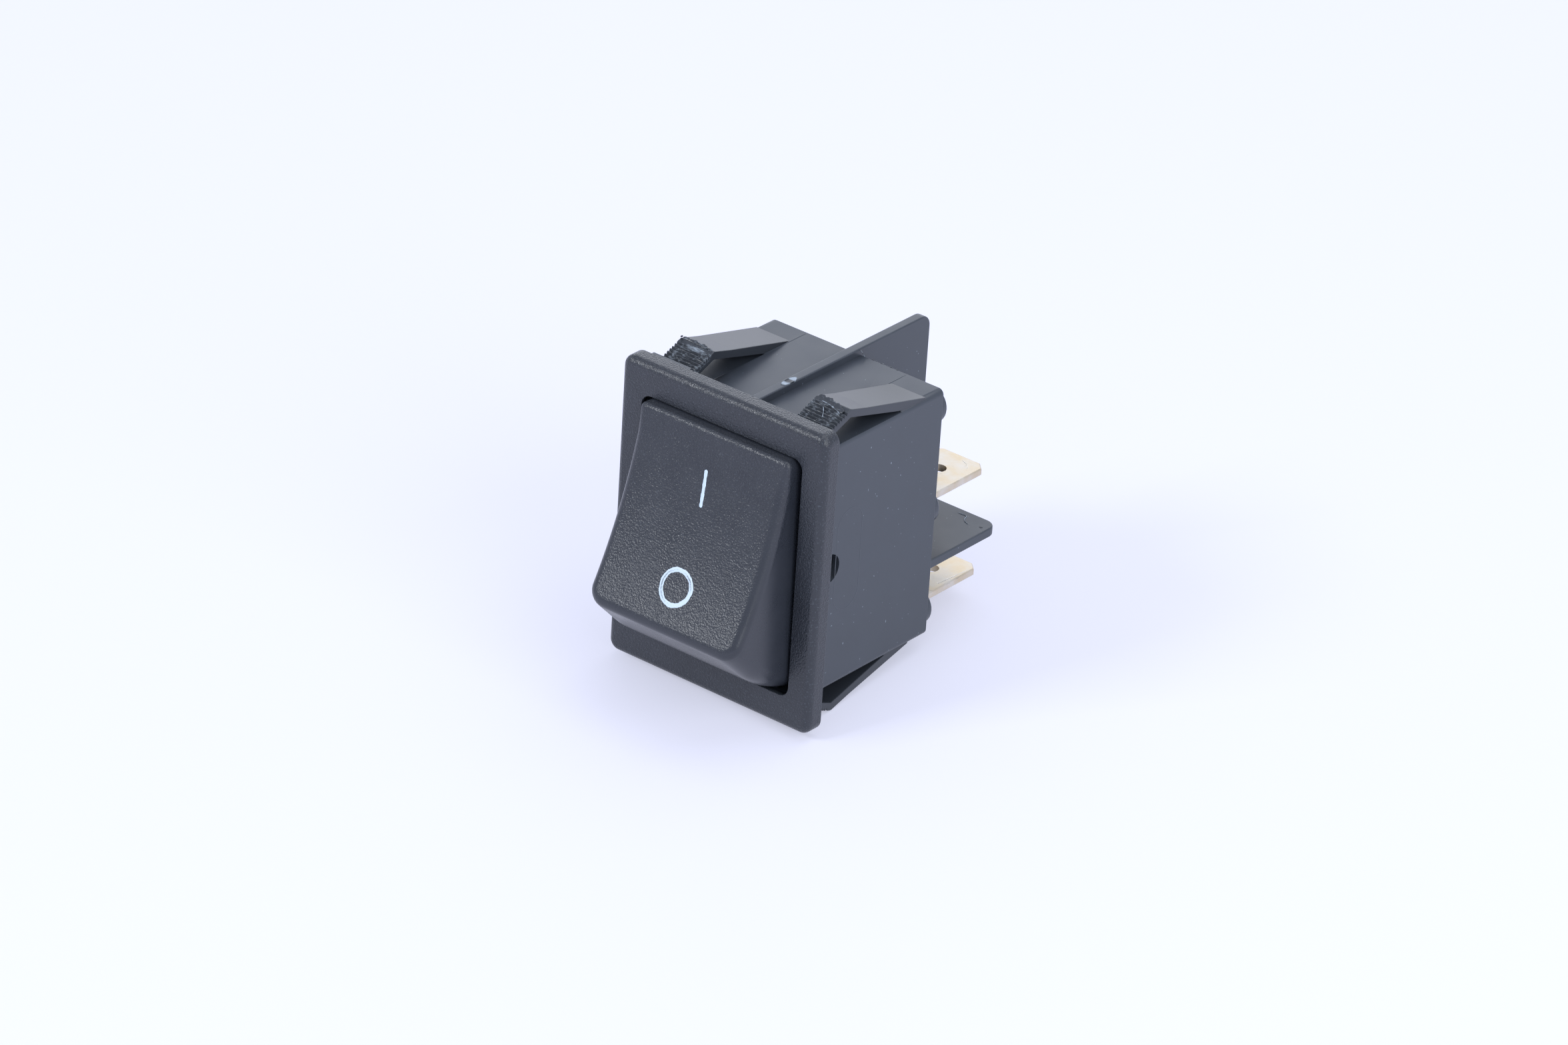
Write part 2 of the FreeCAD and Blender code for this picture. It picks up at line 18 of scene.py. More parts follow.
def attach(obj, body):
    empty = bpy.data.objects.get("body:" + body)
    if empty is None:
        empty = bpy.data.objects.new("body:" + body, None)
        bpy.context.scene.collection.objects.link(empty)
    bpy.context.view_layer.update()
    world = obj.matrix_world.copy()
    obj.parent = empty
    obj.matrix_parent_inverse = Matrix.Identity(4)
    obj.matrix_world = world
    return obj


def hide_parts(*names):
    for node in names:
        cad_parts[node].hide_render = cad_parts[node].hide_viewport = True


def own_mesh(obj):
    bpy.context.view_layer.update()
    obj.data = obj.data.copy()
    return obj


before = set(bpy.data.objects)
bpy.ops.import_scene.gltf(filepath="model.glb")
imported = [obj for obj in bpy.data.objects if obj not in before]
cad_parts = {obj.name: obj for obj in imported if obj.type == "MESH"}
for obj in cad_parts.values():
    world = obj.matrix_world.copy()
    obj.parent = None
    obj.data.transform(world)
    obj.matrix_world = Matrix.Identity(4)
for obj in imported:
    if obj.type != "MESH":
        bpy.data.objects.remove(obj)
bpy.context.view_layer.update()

log = logging.getLogger("rocker_switch")
Item, Material, Tree, Socket = bpy.types.Object, bpy.types.Material, bpy.types.NodeTree, bpy.types.NodeSocket

MM = 0.001
SMOOTH_LIMIT = math.radians(35)
USUAL = (0.3, 0.7)  # between which most of a noise pattern's values lie
SHARP = 0.001  # edge radius of a cutter, as good as sharp
EDGE_STEPS = 4  # steps round the edge of a plate that shows
TIP = 0.01  # what is left at a strand's tips of the square of its width
POLE = 5.6  # how far each pole lies from the middle


class Body(Enum):
    """Moving bodies that pieces ride on."""

    HOUSING = "housing"
    ROCKER = "rocker"


class Side(Enum):
    """Left or right half of the switch, with its sign along X."""

    LEFT = -1
    RIGHT = 1

    @property
    def word(self) -> str:
        """Give the side as it stands in names."""
        return self.name.lower()


class Ends(Enum):
    """How a stack of rings is closed: a fan round the middle of each end, one flat face, or last to first."""

    FANS = "fans"
    FLAT = "flat"
    JOINED = "joined"


class Along(Enum):
    """The axis that a plate is thick along, as the order that turns (a, b, thickness) into (x, y, z)."""

    X = (2, 0, 1)
    Y = (0, 2, 1)
    Z = (0, 1, 2)


# Meshes


def unit(vectors: np.ndarray) -> np.ndarray:
    """Bring vectors (..., D) to length 1."""
    return vectors / np.linalg.norm(vectors, axis=-1, keepdims=True)


def circle(steps: int) -> np.ndarray:
    """Give the angles of evenly spaced points once round a circle."""
    return np.linspace(0, 2 * math.pi, steps, endpoint=False)


@dataclass(frozen=True)
class RingPlan:
    """Order of the points round a rounded rectangle in a plane across Y."""

    arc_steps: int = 8
    level_steps: int = 2
    upright_steps: int = 2

    def plan(self) -> tuple[np.ndarray, np.ndarray]:
        """Give where each point sits on the rectangle of the corner centres, and its outward normal.

        With half sizes a and b and corner radius r, a point is (u (a - r) + n r, v (b - r) + m r).

        Returns:
            Arrays (N, 2) of (u, v) from -1 to 1 and of (n, m).
        """
        corners = [(1, 1), (-1, 1), (-1, -1), (1, -1)]
        places, normals = [], []
        for index, corner in enumerate(corners):
            angle = np.linspace(0, math.pi / 2, self.arc_steps + 1) + index * math.pi / 2
            places.append(np.tile(np.array(corner, float), (len(angle), 1)))
            normals.append(np.stack([np.cos(angle), np.sin(angle)], axis=1))
            steps = self.level_steps if index % 2 == 0 else self.upright_steps
            share = (np.arange(1, steps) / steps)[:, None]
            ahead = np.array(corners[(index + 1) % 4], float)
            places.append(np.array(corner) * (1 - share) + ahead * share)
            normals.append(np.repeat(normals[-1][-1:], steps - 1, axis=0))
        return np.concatenate(places), np.concatenate(normals)

    def ring(self, half_width: float, half_height: float, radius: float, depth: float) -> np.ndarray:
        """Give the points (N, 3) of one rounded rectangle in the plane Y = depth."""
        places, normals = self.plan()
        inner = np.array([half_width - radius, half_height - radius])
        flat = places * inner + normals * radius
        return np.stack([flat[:, 0], np.full(len(flat), depth), flat[:, 1]], axis=1)


def band_faces(rows: int, columns: int) -> np.ndarray:
    """Give the quads (M, 4) between the rows of a grid that is closed round its columns."""
    row, column = np.meshgrid(np.arange(rows - 1), np.arange(columns), indexing="ij")
    after = (column + 1) % columns
    here, ahead = row * columns, (row + 1) * columns
    return np.stack([here + column, here + after, ahead + after, ahead + column], axis=-1).reshape(-1, 4)


def settle(item: Item, weighted: bool = True) -> None:
    """Turn the faces outward and shade the piece smooth up to the limit angle."""
    work = bmesh.new()
    work.from_mesh(item.data)
    bmesh.ops.recalc_face_normals(work, faces=work.faces)
    work.to_mesh(item.data)
    work.free()
    item.data.polygons.foreach_set("use_smooth", np.ones(len(item.data.polygons), dtype=bool))
    item.data.set_sharp_from_angle(angle=SMOOTH_LIMIT)
    if weighted:
        item.modifiers.new("lean", "WEIGHTED_NORMAL").keep_sharp = True


def linked(name: str, data: bpy.types.ID) -> Item:
    """Put a mesh, a lamp or a camera into the scene."""
    item = bpy.data.objects.new(name, data)
    bpy.context.scene.collection.objects.link(item)
    return item


def skin(name: str, rings: np.ndarray, finishes: list, body: Body = Body.HOUSING, ends: Ends = Ends.FANS,
         picks: np.ndarray | None = None, weighted: bool = True) -> Item:
    """Make one closed piece from a stack of rings (S, N, 3), facing outward, in place on its body.

    Args:
        name: Name of the piece.
        rings: Points in millimetres, row by row.
        finishes: Materials of the piece.
        body: The body that it rides on.
        ends: How the first and last ring are closed.
        picks: Number of the material of each row of faces (S - 1,), 0 when left out.
        weighted: Lean the normals towards the larger faces.

    Returns:
        The new object.
    """
    rows, columns = rings.shape[:2]
    points = rings.reshape(-1, 3)
    count = len(points)
    first, last = list(range(columns)), list(range(count - columns, count))
    faces = band_faces(rows, columns)
    caps = []
    if ends is Ends.JOINED:
        faces = band_faces(rows + 1, columns) % count
    elif ends is Ends.FLAT:
        caps = [first[::-1], last]
    else:
        points = np.concatenate([points, [rings[0].mean(axis=0), rings[-1].mean(axis=0)]])
        caps = [[count, first[i], first[i - 1]] for i in range(columns)]
        caps += [[count + 1, last[i - 1], last[i]] for i in range(columns)]
    mesh = bpy.data.meshes.new(name)
    mesh.from_pydata((points * MM).tolist(), [], faces.tolist() + caps)
    for finish in finishes:
        mesh.materials.append(finish)
    if picks is not None:
        numbers = np.concatenate([np.repeat(picks, columns), np.repeat(picks[[0, -1]], len(caps) // 2)])
        mesh.polygons.foreach_set("material_index", numbers.astype(np.int32))
    item = linked(name, mesh)
    settle(item, weighted)
    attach(item, body.value)
    log.info("made %s", name)
    return item


def outline_normals(outline: np.ndarray) -> np.ndarray:
    """Give the outward offsets (N, 2) of a closed outline, as long as keeps its sides parallel."""
    ahead = unit(np.roll(outline, -1, axis=0) - outline)
    right = np.stack([ahead[:, 1], -ahead[:, 0]], axis=1)
    before = np.roll(right, 1, axis=0)
    both = right + before
    area = np.sum(outline[:, 0] * np.roll(outline[:, 1], -1) - np.roll(outline[:, 0], -1) * outline[:, 1])
    return both / (1 + np.sum(right * before, axis=1, keepdims=True)) * math.copysign(1, area)


def plate_rings(outline: np.ndarray, span: tuple, along: Along, edge: float = SHARP, steps: int = 1) -> np.ndarray:
    """Carry a closed outline across a plate's thickness, with rounded edges.

    At an angle f from 0 to 90 degrees the outline lies edge (1 - sin f) inside, edge (1 - cos f) past the end.

    Args:
        outline: Points (N, 2).
        span: Where the plate starts and ends along its thickness.
        along: The axis that it is thick along.
        edge: Radius of the edges.
        steps: Steps of a quarter turn.

    Returns:
        Rings (S, N, 3).
    """
    offsets = outline_normals(outline)
    angle = np.linspace(0, math.pi / 2, steps + 1)
    inset = edge * (1 - np.sin(angle))
    past = edge * (1 - np.cos(angle))
    insets = np.concatenate([inset, inset[::-1]])
    places = np.concatenate([span[0] + past, span[1] - past[::-1]])
    flat = outline[None] - offsets[None] * insets[:, None, None]
    third = np.broadcast_to(places[:, None, None], flat.shape[:2] + (1,))
    return np.concatenate([flat, third], axis=2)[..., list(along.value)]


def rounded_outline(corners: list, steps: int = 8) -> np.ndarray:
    """Give a closed outline (N, 2) from corners (a, b, radius), each rounded by its radius."""
    found = []
    count = len(corners)
    for index, (a, b, radius) in enumerate(corners):
        here = np.array([a, b], float)
        if not radius:
            found.append(here[None])
            continue
        back, ahead = (unit(np.array(corners[(index + way) % count][:2], float) - here) for way in (-1, 1))
        found.append(rounded_turn(here, back, ahead, radius, steps))
    return np.concatenate(found)


def rounded_turn(corner: np.ndarray, back: np.ndarray, ahead: np.ndarray, radius: float, steps: int) -> np.ndarray:
    """Round one corner, or a row of corners, with the arc of a circle.

    With h half the angle inside the corner, the arc is the rational curve
    ((1-t)^2 P + 2 t (1-t) sin h C + t^2 Q) / ((1-t)^2 + 2 t (1-t) sin h + t^2), from P to Q round the corner C.

    Args:
        corner: The sharp corner, (..., D).
        back: Unit direction back along the first side.
        ahead: Unit direction on along the second side.
        radius: Radius of the arc.
        steps: Steps along the arc.

    Returns:
        Points (steps + 1, ..., D).
    """
    half = np.arccos(np.clip(np.sum(back * ahead, axis=-1, keepdims=True), -1, 1)) / 2
    run = radius / np.tan(half)
    t = np.linspace(0, 1, steps + 1).reshape((-1,) + (1,) * corner.ndim)
    weight = 2 * t * (1 - t) * np.sin(half)
    total = (1 - t) ** 2 + weight + t ** 2
    return ((1 - t) ** 2 * (corner + back * run) + weight * corner + t ** 2 * (corner + ahead * run)) / total


def rectangle(first: tuple, last: tuple, radius: float = 0.0) -> np.ndarray:
    """Give the outline of a rectangle from one corner to the opposite one, its fourth corner rounded."""
    (a, b), (c, d) = first, last
    return rounded_outline([(a, b, 0), (c, b, 0), (c, d, 0), (a, d, radius)])


def ripple(turn: np.ndarray, terms: tuple) -> np.ndarray:
    """Give the sum of a sin(n t + p) over terms (a, n, p)."""
    return sum(height * np.sin(count * turn + phase) for height, count, phase in terms)


def waves(place: np.ndarray, phase: np.ndarray | float = 0.0) -> np.ndarray:
    """Give an uneven run of values near -1 to 1, sin(5.3 p + f) + 0.6 sin(13.1 p + 2 f) + 0.4 sin(29 p + 3 f)."""
    return (np.sin(5.3 * place + phase) + 0.6 * np.sin(13.1 * place + 2 * phase)
            + 0.4 * np.sin(29 * place + 3 * phase)) / 1.4


def carried(values: np.ndarray, name: str, item: Item) -> None:
    """Give each point of a piece a value that its material reads by name."""
    layer = item.data.attributes.new(name, "FLOAT", "POINT")
    layer.data.foreach_set("value", np.asarray(values, dtype=np.float32))


def strand(path: np.ndarray, width: float, thickness: float, up: tuple, ragged: float = 0.0,
           sides: int = 8, blunt: int = 6) -> np.ndarray:
    """Sweep a flat oval section along a path and let it taper at its ends.

    At the angle f round the section a point is the path + s w cos f + u t sin f, with s across the path and u
    up. Both w and t shrink towards the ends as sqrt(1 - q^b), with q from -1 to 1 along the path.

    Args:
        path: Points (S, 3).
        width: Half width.
        thickness: Half thickness.
        up: Direction that the flat side faces.
        ragged: Share by which the width wavers.
        sides: Points round the section.
        blunt: The power b, higher for blunter ends.

    Returns:
        Rings (S, sides, 3).
    """
    path = np.asarray(path, float)
    ahead = np.gradient(path, axis=0)
    across = unit(np.cross(ahead, np.array(up, float)))
    above = unit(np.cross(across, ahead))
    place = np.linspace(-1, 1, len(path))
    taper = np.sqrt(np.maximum(1 - place ** blunt, TIP))
    run = np.concatenate([[0], np.cumsum(np.linalg.norm(np.diff(path, axis=0), axis=1))])
    half = width * taper * (1 + ragged * waves(run))
    angle = circle(sides)
    level = (across * half[:, None])[:, None] * np.cos(angle)[None, :, None]
    raised = (above * (thickness * taper)[:, None])[:, None] * np.sin(angle)[None, :, None]
    return path[:, None] + level + raised


def between(first: tuple, last: tuple, steps: int = 12, bow: tuple = (0, 0, 0)) -> np.ndarray:
    """Give points from first to last, bowed out in the middle by bow times 1 - q^2."""
    place = np.linspace(-1, 1, steps)[:, None]
    ends = (np.array(first, float) * (1 - place) + np.array(last, float) * (1 + place)) / 2
    return ends + np.array(bow, float) * (1 - place ** 2)


def turned_rings(profile: list, centre: tuple, axis: tuple, sides: int = 32) -> np.ndarray:
    """Turn a profile of (radius, place along the axis) about an axis.

    Args:
        profile: Radius and place of each ring.
        centre: Point where the place along the axis is 0.
        axis: Unit direction of the axis.
        sides: Points round each ring.

    Returns:
        Rings (S, sides, 3).
    """
    along = Vector(axis)
    across = np.array(along.orthogonal().normalized())
    third = np.cross(np.array(axis, float), across)
    angle = circle(sides)[None, :, None]
    radius, place = (np.array([row[i] for row in profile], float)[:, None, None] for i in (0, 1))
    outward = across * np.cos(angle) + third * np.sin(angle)
    return np.array(centre, float) + radius * outward + place * np.array(axis)


def carve(item: Item, cutters: list) -> None:
    """Cut closed pieces out of another and remove them."""
    item.modifiers.clear()
    for cutter in cutters:
        cut = item.modifiers.new("cut", "BOOLEAN")
        cut.operation = "DIFFERENCE"
        cut.solver = "EXACT"
        cut.object = cutter
    shaped = item.evaluated_get(bpy.context.evaluated_depsgraph_get())
    old, item.data = item.data, bpy.data.meshes.new_from_object(shaped)
    item.modifiers.clear()
    item.data.name = item.name
    bpy.data.meshes.remove(old)
    for cutter in cutters:
        bpy.data.objects.remove(cutter)
    settle(item)


# Finishes


def linear(code: str) -> tuple[float, float, float, float]:
    """Turn an sRGB hex code into linear light, c/12.92 or ((c + 0.055)/1.055)^2.4 for each channel."""
    parts = [int(code[i:i + 2], 16) / 255 for i in (1, 3, 5)]
    light = [c / 12.92 if c <= 0.04045 else ((c + 0.055) / 1.055) ** 2.4 for c in parts]
    return light[0], light[1], light[2], 1.0


def per_mm(size: float) -> float:
    """Give the scale at which a pattern repeats about every size millimetres."""
    return 1 / (size * MM)


def fill(tree: Tree, socket: Socket, value: object) -> None:
    """Link an input to an output, or set it to a number, a vector or a hex colour."""
    if isinstance(value, Socket):
        tree.links.new(value, socket)
    else:
        socket.default_value = linear(value) if isinstance(value, str) else value


def add(tree: Tree, kind: str, inputs: dict, out: int | str = 0, **settings) -> Socket:
    """Add one node to a material.

    Args:
        tree: The material's nodes.
        kind: Type of the node, without its first word ShaderNode.
        inputs: What goes into each input, by the input's name or place.
        out: Name or place of the output that is wanted.
        **settings: The node's own settings.

    Returns:
        The wanted output.
    """
    node = tree.nodes.new("ShaderNode" + kind)
    for name, value in settings.items():
        setattr(node, name, value)
    for key, value in inputs.items():
        fill(tree, node.inputs[key], value)
    return node.outputs[out]


def start(name: str) -> tuple[Material, Tree, Socket]:
    """Start a material and give it with its nodes and the place on the piece."""
    material = bpy.data.materials.new(name)
    material.use_nodes = True
    tree = material.node_tree
    return material, tree, add(tree, "TexCoord", {}, "Object")


def coat(tree: Tree, inputs: dict) -> None:
    """Fill inputs of the material's shader, by their names."""
    for key, value in inputs.items():
        fill(tree, tree.nodes["Principled BSDF"].inputs[key], value)


def clouds(tree: Tree, place: Socket, size: float, tones: tuple, roughness: tuple,
           detail: float = 3.0) -> tuple[Socket, Socket, Socket]:
    """Lay soft clouds of two tones over a material.

    Args:
        tree: The material's nodes.
        place: The place on the piece.
        size: Size of the clouds in millimetres.
        tones: Hex colours between which the clouds change.
        roughness: Roughness at both ends of the clouds' usual values.
        detail: How broken up the clouds are.

    Returns:
        The pattern, the colour and the roughness.
    """
    cloud = add(tree, "TexNoise", {"Vector": place, "Scale": per_mm(size), "Detail": detail})
    base = add(tree, "Mix", {0: cloud, 6: tones[0], 7: tones[1]}, 2, data_type="RGBA")
    rough = add(tree, "MapRange", {"Value": cloud, "From Min": USUAL[0], "From Max": USUAL[1],
                                   "To Min": roughness[0], "To Max": roughness[1]})
    return cloud, base, rough


def lines(tree: Tree, place: Socket, stretch: tuple, size: float, detail: float,
          roughness: float = 0.5) -> Socket:
    """Give a pattern of lines about size millimetres wide, stretched along the axes whose factor is below 1."""
    along = add(tree, "Mapping", {"Vector": place, "Scale": stretch})
    return add(tree, "TexNoise", {"Vector": along, "Scale": per_mm(size), "Detail": detail,
                                  "Roughness": roughness})


def sinks(tree: Tree, place: Socket, size: float, depth: float) -> Socket:
    """Give the normal of the slow waves that a wall gets as it cools, size and depth in millimetres."""
    slow = add(tree, "TexNoise", {"Vector": place, "Scale": per_mm(size), "Detail": 1.0})
    return add(tree, "Bump", {"Height": slow, "Distance": depth * MM})


@dataclass(frozen=True)
class MouldedNylon:
    """Black nylon from a steel mould: satin, with grain, slow sink waves and pale specks: lint, painted glints
    when spark-textured.
    """

    name: str = "moulded_black_nylon"
    dark: str = "#2f343b"
    light: str = "#3a3f47"
    # Tone of the pale specks: lint, and painted glints on spark texture.
    lint_and_glint: str = "#8b96a2"
    cloud: float = 3.5
    roughness: tuple = (0.33, 0.42)
    grain: float = 0.3
    grain_depth: float = 0.0008
    wave: float = 3.0
    wave_depth: float = 0.012
    speck: float = 0.24
    speck_range: tuple = (0.845, 0.875)
    speck_cover: float = 0.6
    fading: bool = False

    def build(self) -> Material:
        """Make the material: cool black clouds, pale specks and a grain that breaks up the gloss."""
        material, tree, place = start(self.name)
        _, plain, rough = clouds(tree, place, self.cloud, (self.dark, self.light), self.roughness)
        # Pale specks: lint on the satin finishes, painted glints on the spark-textured finishes.
        dots = add(tree, "TexNoise", {"Vector": place, "Scale": per_mm(self.speck), "Detail": 0.0})
        cover = add(tree, "MapRange", {"Value": dots, "From Min": self.speck_range[0],
                                       "From Max": self.speck_range[1], "To Max": self.speck_cover})
        grains = add(tree, "TexNoise", {"Vector": place, "Scale": per_mm(self.grain), "Detail": 2.0})
        if self.fading:
            grained = add(tree, "Attribute", {}, "Fac", attribute_name="grained")
            cover, grains = (add(tree, "Math", {0: pattern, 1: grained}, operation="MULTIPLY")
                             for pattern in (cover, grains))
        base = add(tree, "Mix", {0: cover, 6: plain, 7: self.lint_and_glint}, 2, data_type="RGBA")
        normal = add(tree, "Bump", {"Height": grains, "Distance": self.grain_depth * MM,
                                    "Normal": sinks(tree, place, self.wave, self.wave_depth)})
        coat(tree, {"Base Color": base, "Roughness": rough, "Normal": normal})
        return material


@dataclass(frozen=True)
class TornNylon:
    """Black nylon that the edge of a panel scraped: torn fibres turn it bluish white along the scrape; on the
    wings' crests the same whitening is a painted highlight.
    """

    name: str = "scraped_black_nylon"
    dark: str = "#2b2f35"
    pale: str = "#b0bdcb"
    roughness: tuple = (0.36, 0.6)
    streak: float = 0.15
    stretch: tuple = (0.3, 1.0, 1.0)
    torn_range: tuple = (0.98, 1.4)
    torn_cover: float = 0.66
    fibre_depth: float = 0.06
    wave: float = 2.0
    wave_depth: float = 0.012

    def build(self) -> Material:
        """Make the material: satin black, with matt whitish streaks where the mesh carries the value torn."""
        material, tree, place = start(self.name)
        fibres = lines(tree, place, self.stretch, self.streak, detail=4.0, roughness=0.65)
        torn = add(tree, "Attribute", {}, "Fac", attribute_name="torn")
        total = add(tree, "Math", {0: torn, 1: fibres}, operation="ADD")
        share = add(tree, "MapRange", {"Value": total, "From Min": self.torn_range[0],
                                       "From Max": self.torn_range[1], "To Max": self.torn_cover})
        base = add(tree, "Mix", {0: share, 6: self.dark, 7: self.pale}, 2, data_type="RGBA")
        rough = add(tree, "MapRange", {"Value": share, "To Min": self.roughness[0], "To Max": self.roughness[1]})
        raised = add(tree, "Math", {0: fibres, 1: share}, operation="MULTIPLY")
        normal = add(tree, "Bump", {"Height": raised, "Distance": self.fibre_depth * MM,
                                    "Normal": sinks(tree, place, self.wave, self.wave_depth)})
        coat(tree, {"Base Color": base, "Roughness": rough, "Normal": normal})
        return material


@dataclass(frozen=True)
class PadInk:
    """White ink printed with a soft pad: chalky, and thin in the middle of a line."""

    name: str = "pad_printed_white_ink"
    pale: str = "#bac9d6"
    thin: str = "#59616c"
    thin_range: tuple = (0.7, 1.3)
    roughness: float = 0.55
    grain: float = 0.14
    grain_depth: float = 0.012

    def build(self) -> Material:
        """Make the material: matt bluish white that lets the grain below show where the mesh says thin."""
        material, tree, place = start(self.name)
        grains = add(tree, "TexNoise", {"Vector": place, "Scale": per_mm(self.grain), "Detail": 2.0})
        hollow = add(tree, "Attribute", {}, "Fac", attribute_name="thin")
        total = add(tree, "Math", {0: hollow, 1: grains}, operation="ADD")
        share = add(tree, "MapRange", {"Value": total, "From Min": self.thin_range[0],
                                       "From Max": self.thin_range[1]})
        base = add(tree, "Mix", {0: share, 6: self.pale, 7: self.thin}, 2, data_type="RGBA")
        normal = add(tree, "Bump", {"Height": grains, "Distance": self.grain_depth * MM})
        coat(tree, {"Base Color": base, "Roughness": self.roughness, "Normal": normal})
        return material


@dataclass(frozen=True)
class SilveredBrass:
    """Stamped brass under aged silver plating: cream tarnish in clouds, grey rubs and scratches along the tab."""

    name: str = "silver_plated_brass_aged"
    bright: str = "#dcd5c9"
    cream: str = "#d3c1a1"
    rubbed: str = "#98938d"
    roughness: tuple = (0.5, 0.38)
    cloud: float = 2.6
    cream_range: tuple = (0.36, 0.68)
    scratch: float = 0.45
    stretch: tuple = (1.0, 0.2, 1.0)
    rub_range: tuple = (0.64, 0.78)
    rub_cover: float = 0.7
    depth: float = 0.0007

    def build(self) -> Material:
        """Make the material: soft metal gloss, yellowing in clouds, with fine drawn lines."""
        material, tree, place = start(self.name)
        cloud = add(tree, "TexNoise", {"Vector": place, "Scale": per_mm(self.cloud), "Detail": 3.0,
                                       "Roughness": 0.6})
        tarnish = add(tree, "MapRange", {"Value": cloud, "From Min": self.cream_range[0],
                                         "From Max": self.cream_range[1]})
        aged = add(tree, "Mix", {0: tarnish, 6: self.bright, 7: self.cream}, 2, data_type="RGBA")
        drawn = lines(tree, place, self.stretch, self.scratch, detail=4.0, roughness=0.7)
        rubs = add(tree, "MapRange", {"Value": drawn, "From Min": self.rub_range[0], "From Max": self.rub_range[1],
                                      "To Max": self.rub_cover})
        base = add(tree, "Mix", {0: rubs, 6: aged, 7: self.rubbed}, 2, data_type="RGBA")
        rough = add(tree, "MapRange", {"Value": cloud, "From Min": USUAL[0], "From Max": USUAL[1],
                                       "To Min": self.roughness[0], "To Max": self.roughness[1]})
        normal = add(tree, "Bump", {"Height": drawn, "Distance": self.depth * MM})
        coat(tree, {"Base Color": base, "Roughness": rough, "Metallic": 1.0, "Normal": normal})
        return material


@dataclass(frozen=True)
class WorkedMetal:
    """A metal with fine lines along the way it was rolled, drawn or struck."""

    name: str
    first: str
    second: str
    roughness: tuple
    cloud: float = 1.6
    line: float = 0.15
    stretch: tuple = (1.0, 0.2, 1.0)
    depth: float = 0.004

    def build(self) -> Material:
        """Make the material: two tones of the metal in soft clouds, broken by the tool's lines."""
        material, tree, place = start(self.name)
        _, base, rough = clouds(tree, place, self.cloud, (self.first, self.second), self.roughness)
        drawn = lines(tree, place, self.stretch, self.line, detail=3.0)
        normal = add(tree, "Bump", {"Height": drawn, "Distance": self.depth * MM})
        coat(tree, {"Base Color": base, "Roughness": rough, "Metallic": 1.0, "Normal": normal})
        return material


@dataclass(frozen=True)
class MouldedAcetal:
    """White acetal from a polished mould: waxy and faintly clouded."""

    name: str = "moulded_white_acetal"
    first: str = "#e9e8e0"
    second: str = "#dcdacd"
    roughness: tuple = (0.26, 0.36)
    cloud: float = 1.2
    depth: float = 0.01

    def build(self) -> Material:
        """Make the material: slightly warm white with a soft gloss."""
        material, tree, place = start(self.name)
        cloud, base, rough = clouds(tree, place, self.cloud, (self.first, self.second), self.roughness, detail=2.0)
        normal = add(tree, "Bump", {"Height": cloud, "Distance": self.depth * MM})
        coat(tree, {"Base Color": base, "Roughness": rough, "Normal": normal})
        return material


@dataclass(frozen=True)
class FloorPaper:
    """Pale paper that keeps soft shadows: part of what the camera sees is plain white light."""

    name: str = "pale_floor_paper"
    paper: str = "#eef1f8"
    shade: str = "#a6a6b1"
    glow: str = "#a9abb8"
    roughness: float = 0.9

    def build(self) -> Material:
        """Make the material: pale paper, which camera and mirrors see as half glow and half paper."""
        material, tree, _ = start(self.name)
        path = add(tree, "LightPath", {}, "Is Camera Ray")
        seen = add(tree, "Math", {0: path, 1: path.node.outputs["Is Glossy Ray"]}, operation="MAXIMUM")
        base = add(tree, "Mix", {0: seen, 6: self.paper, 7: self.shade}, 2, data_type="RGBA")
        coat(tree, {"Base Color": base, "Roughness": self.roughness, "Specular IOR Level": 0.0,
                    "Emission Color": self.glow, "Emission Strength": seen})
        return material


@dataclass(frozen=True)
class Finishes:
    """Every material of the switch."""

    nylon: Material = field(default_factory=MouldedNylon().build)
    satin: Material = field(default_factory=MouldedNylon(
        "moulded_black_nylon_rocker", "#2c2f35", "#373a40", roughness=(0.34, 0.44), grain=0.16,
        grain_depth=0.006).build)
    # Spark-textured bezel face: its pale specks are painted glints.
    spark: Material = field(default_factory=MouldedNylon(
        "spark_textured_black_nylon", "#22252b", "#2c2f36", roughness=(0.26, 0.34), grain=0.18, grain_depth=0.07,
        wave_depth=0.006, speck=0.16, speck_range=(0.62, 0.8), speck_cover=0.1).build)
    # Spark-textured rocker face: its pale specks are painted glints.
    faded: Material = field(default_factory=MouldedNylon(
        "spark_textured_black_nylon_rocker", "#24272e", "#2c2f36", roughness=(0.24, 0.32), grain=0.19,
        grain_depth=0.075, wave_depth=0.006, speck=0.14, speck_range=(0.64, 0.8), speck_cover=0.07,
        fading=True).build)
    torn: Material = field(default_factory=TornNylon().build)
    ink: Material = field(default_factory=PadInk().build)
    silvered: Material = field(default_factory=SilveredBrass().build)
    silver: Material = field(default_factory=WorkedMetal(
        "struck_contact_silver", "#dedbd4", "#c9c4ba", (0.2, 0.32), stretch=(1.0, 1.0, 1.0)).build)
    copper: Material = field(default_factory=WorkedMetal(
        "rolled_copper_strip", "#d39a78", "#b97a58", (0.26, 0.4)).build)
    steel: Material = field(default_factory=WorkedMetal(
        "drawn_spring_steel_wire", "#a9abb0", "#8d8f94", (0.24, 0.36)).build)
    acetal: Material = field(default_factory=MouldedAcetal().build)


def dress(node: str, finish: Material) -> None:
    """Put a finish on a solid that stays in view."""
    item = bpy.data.objects[node]
    for place in item.material_slots:
        place.material = finish
    log.info("dressed %s", node)


# Housing


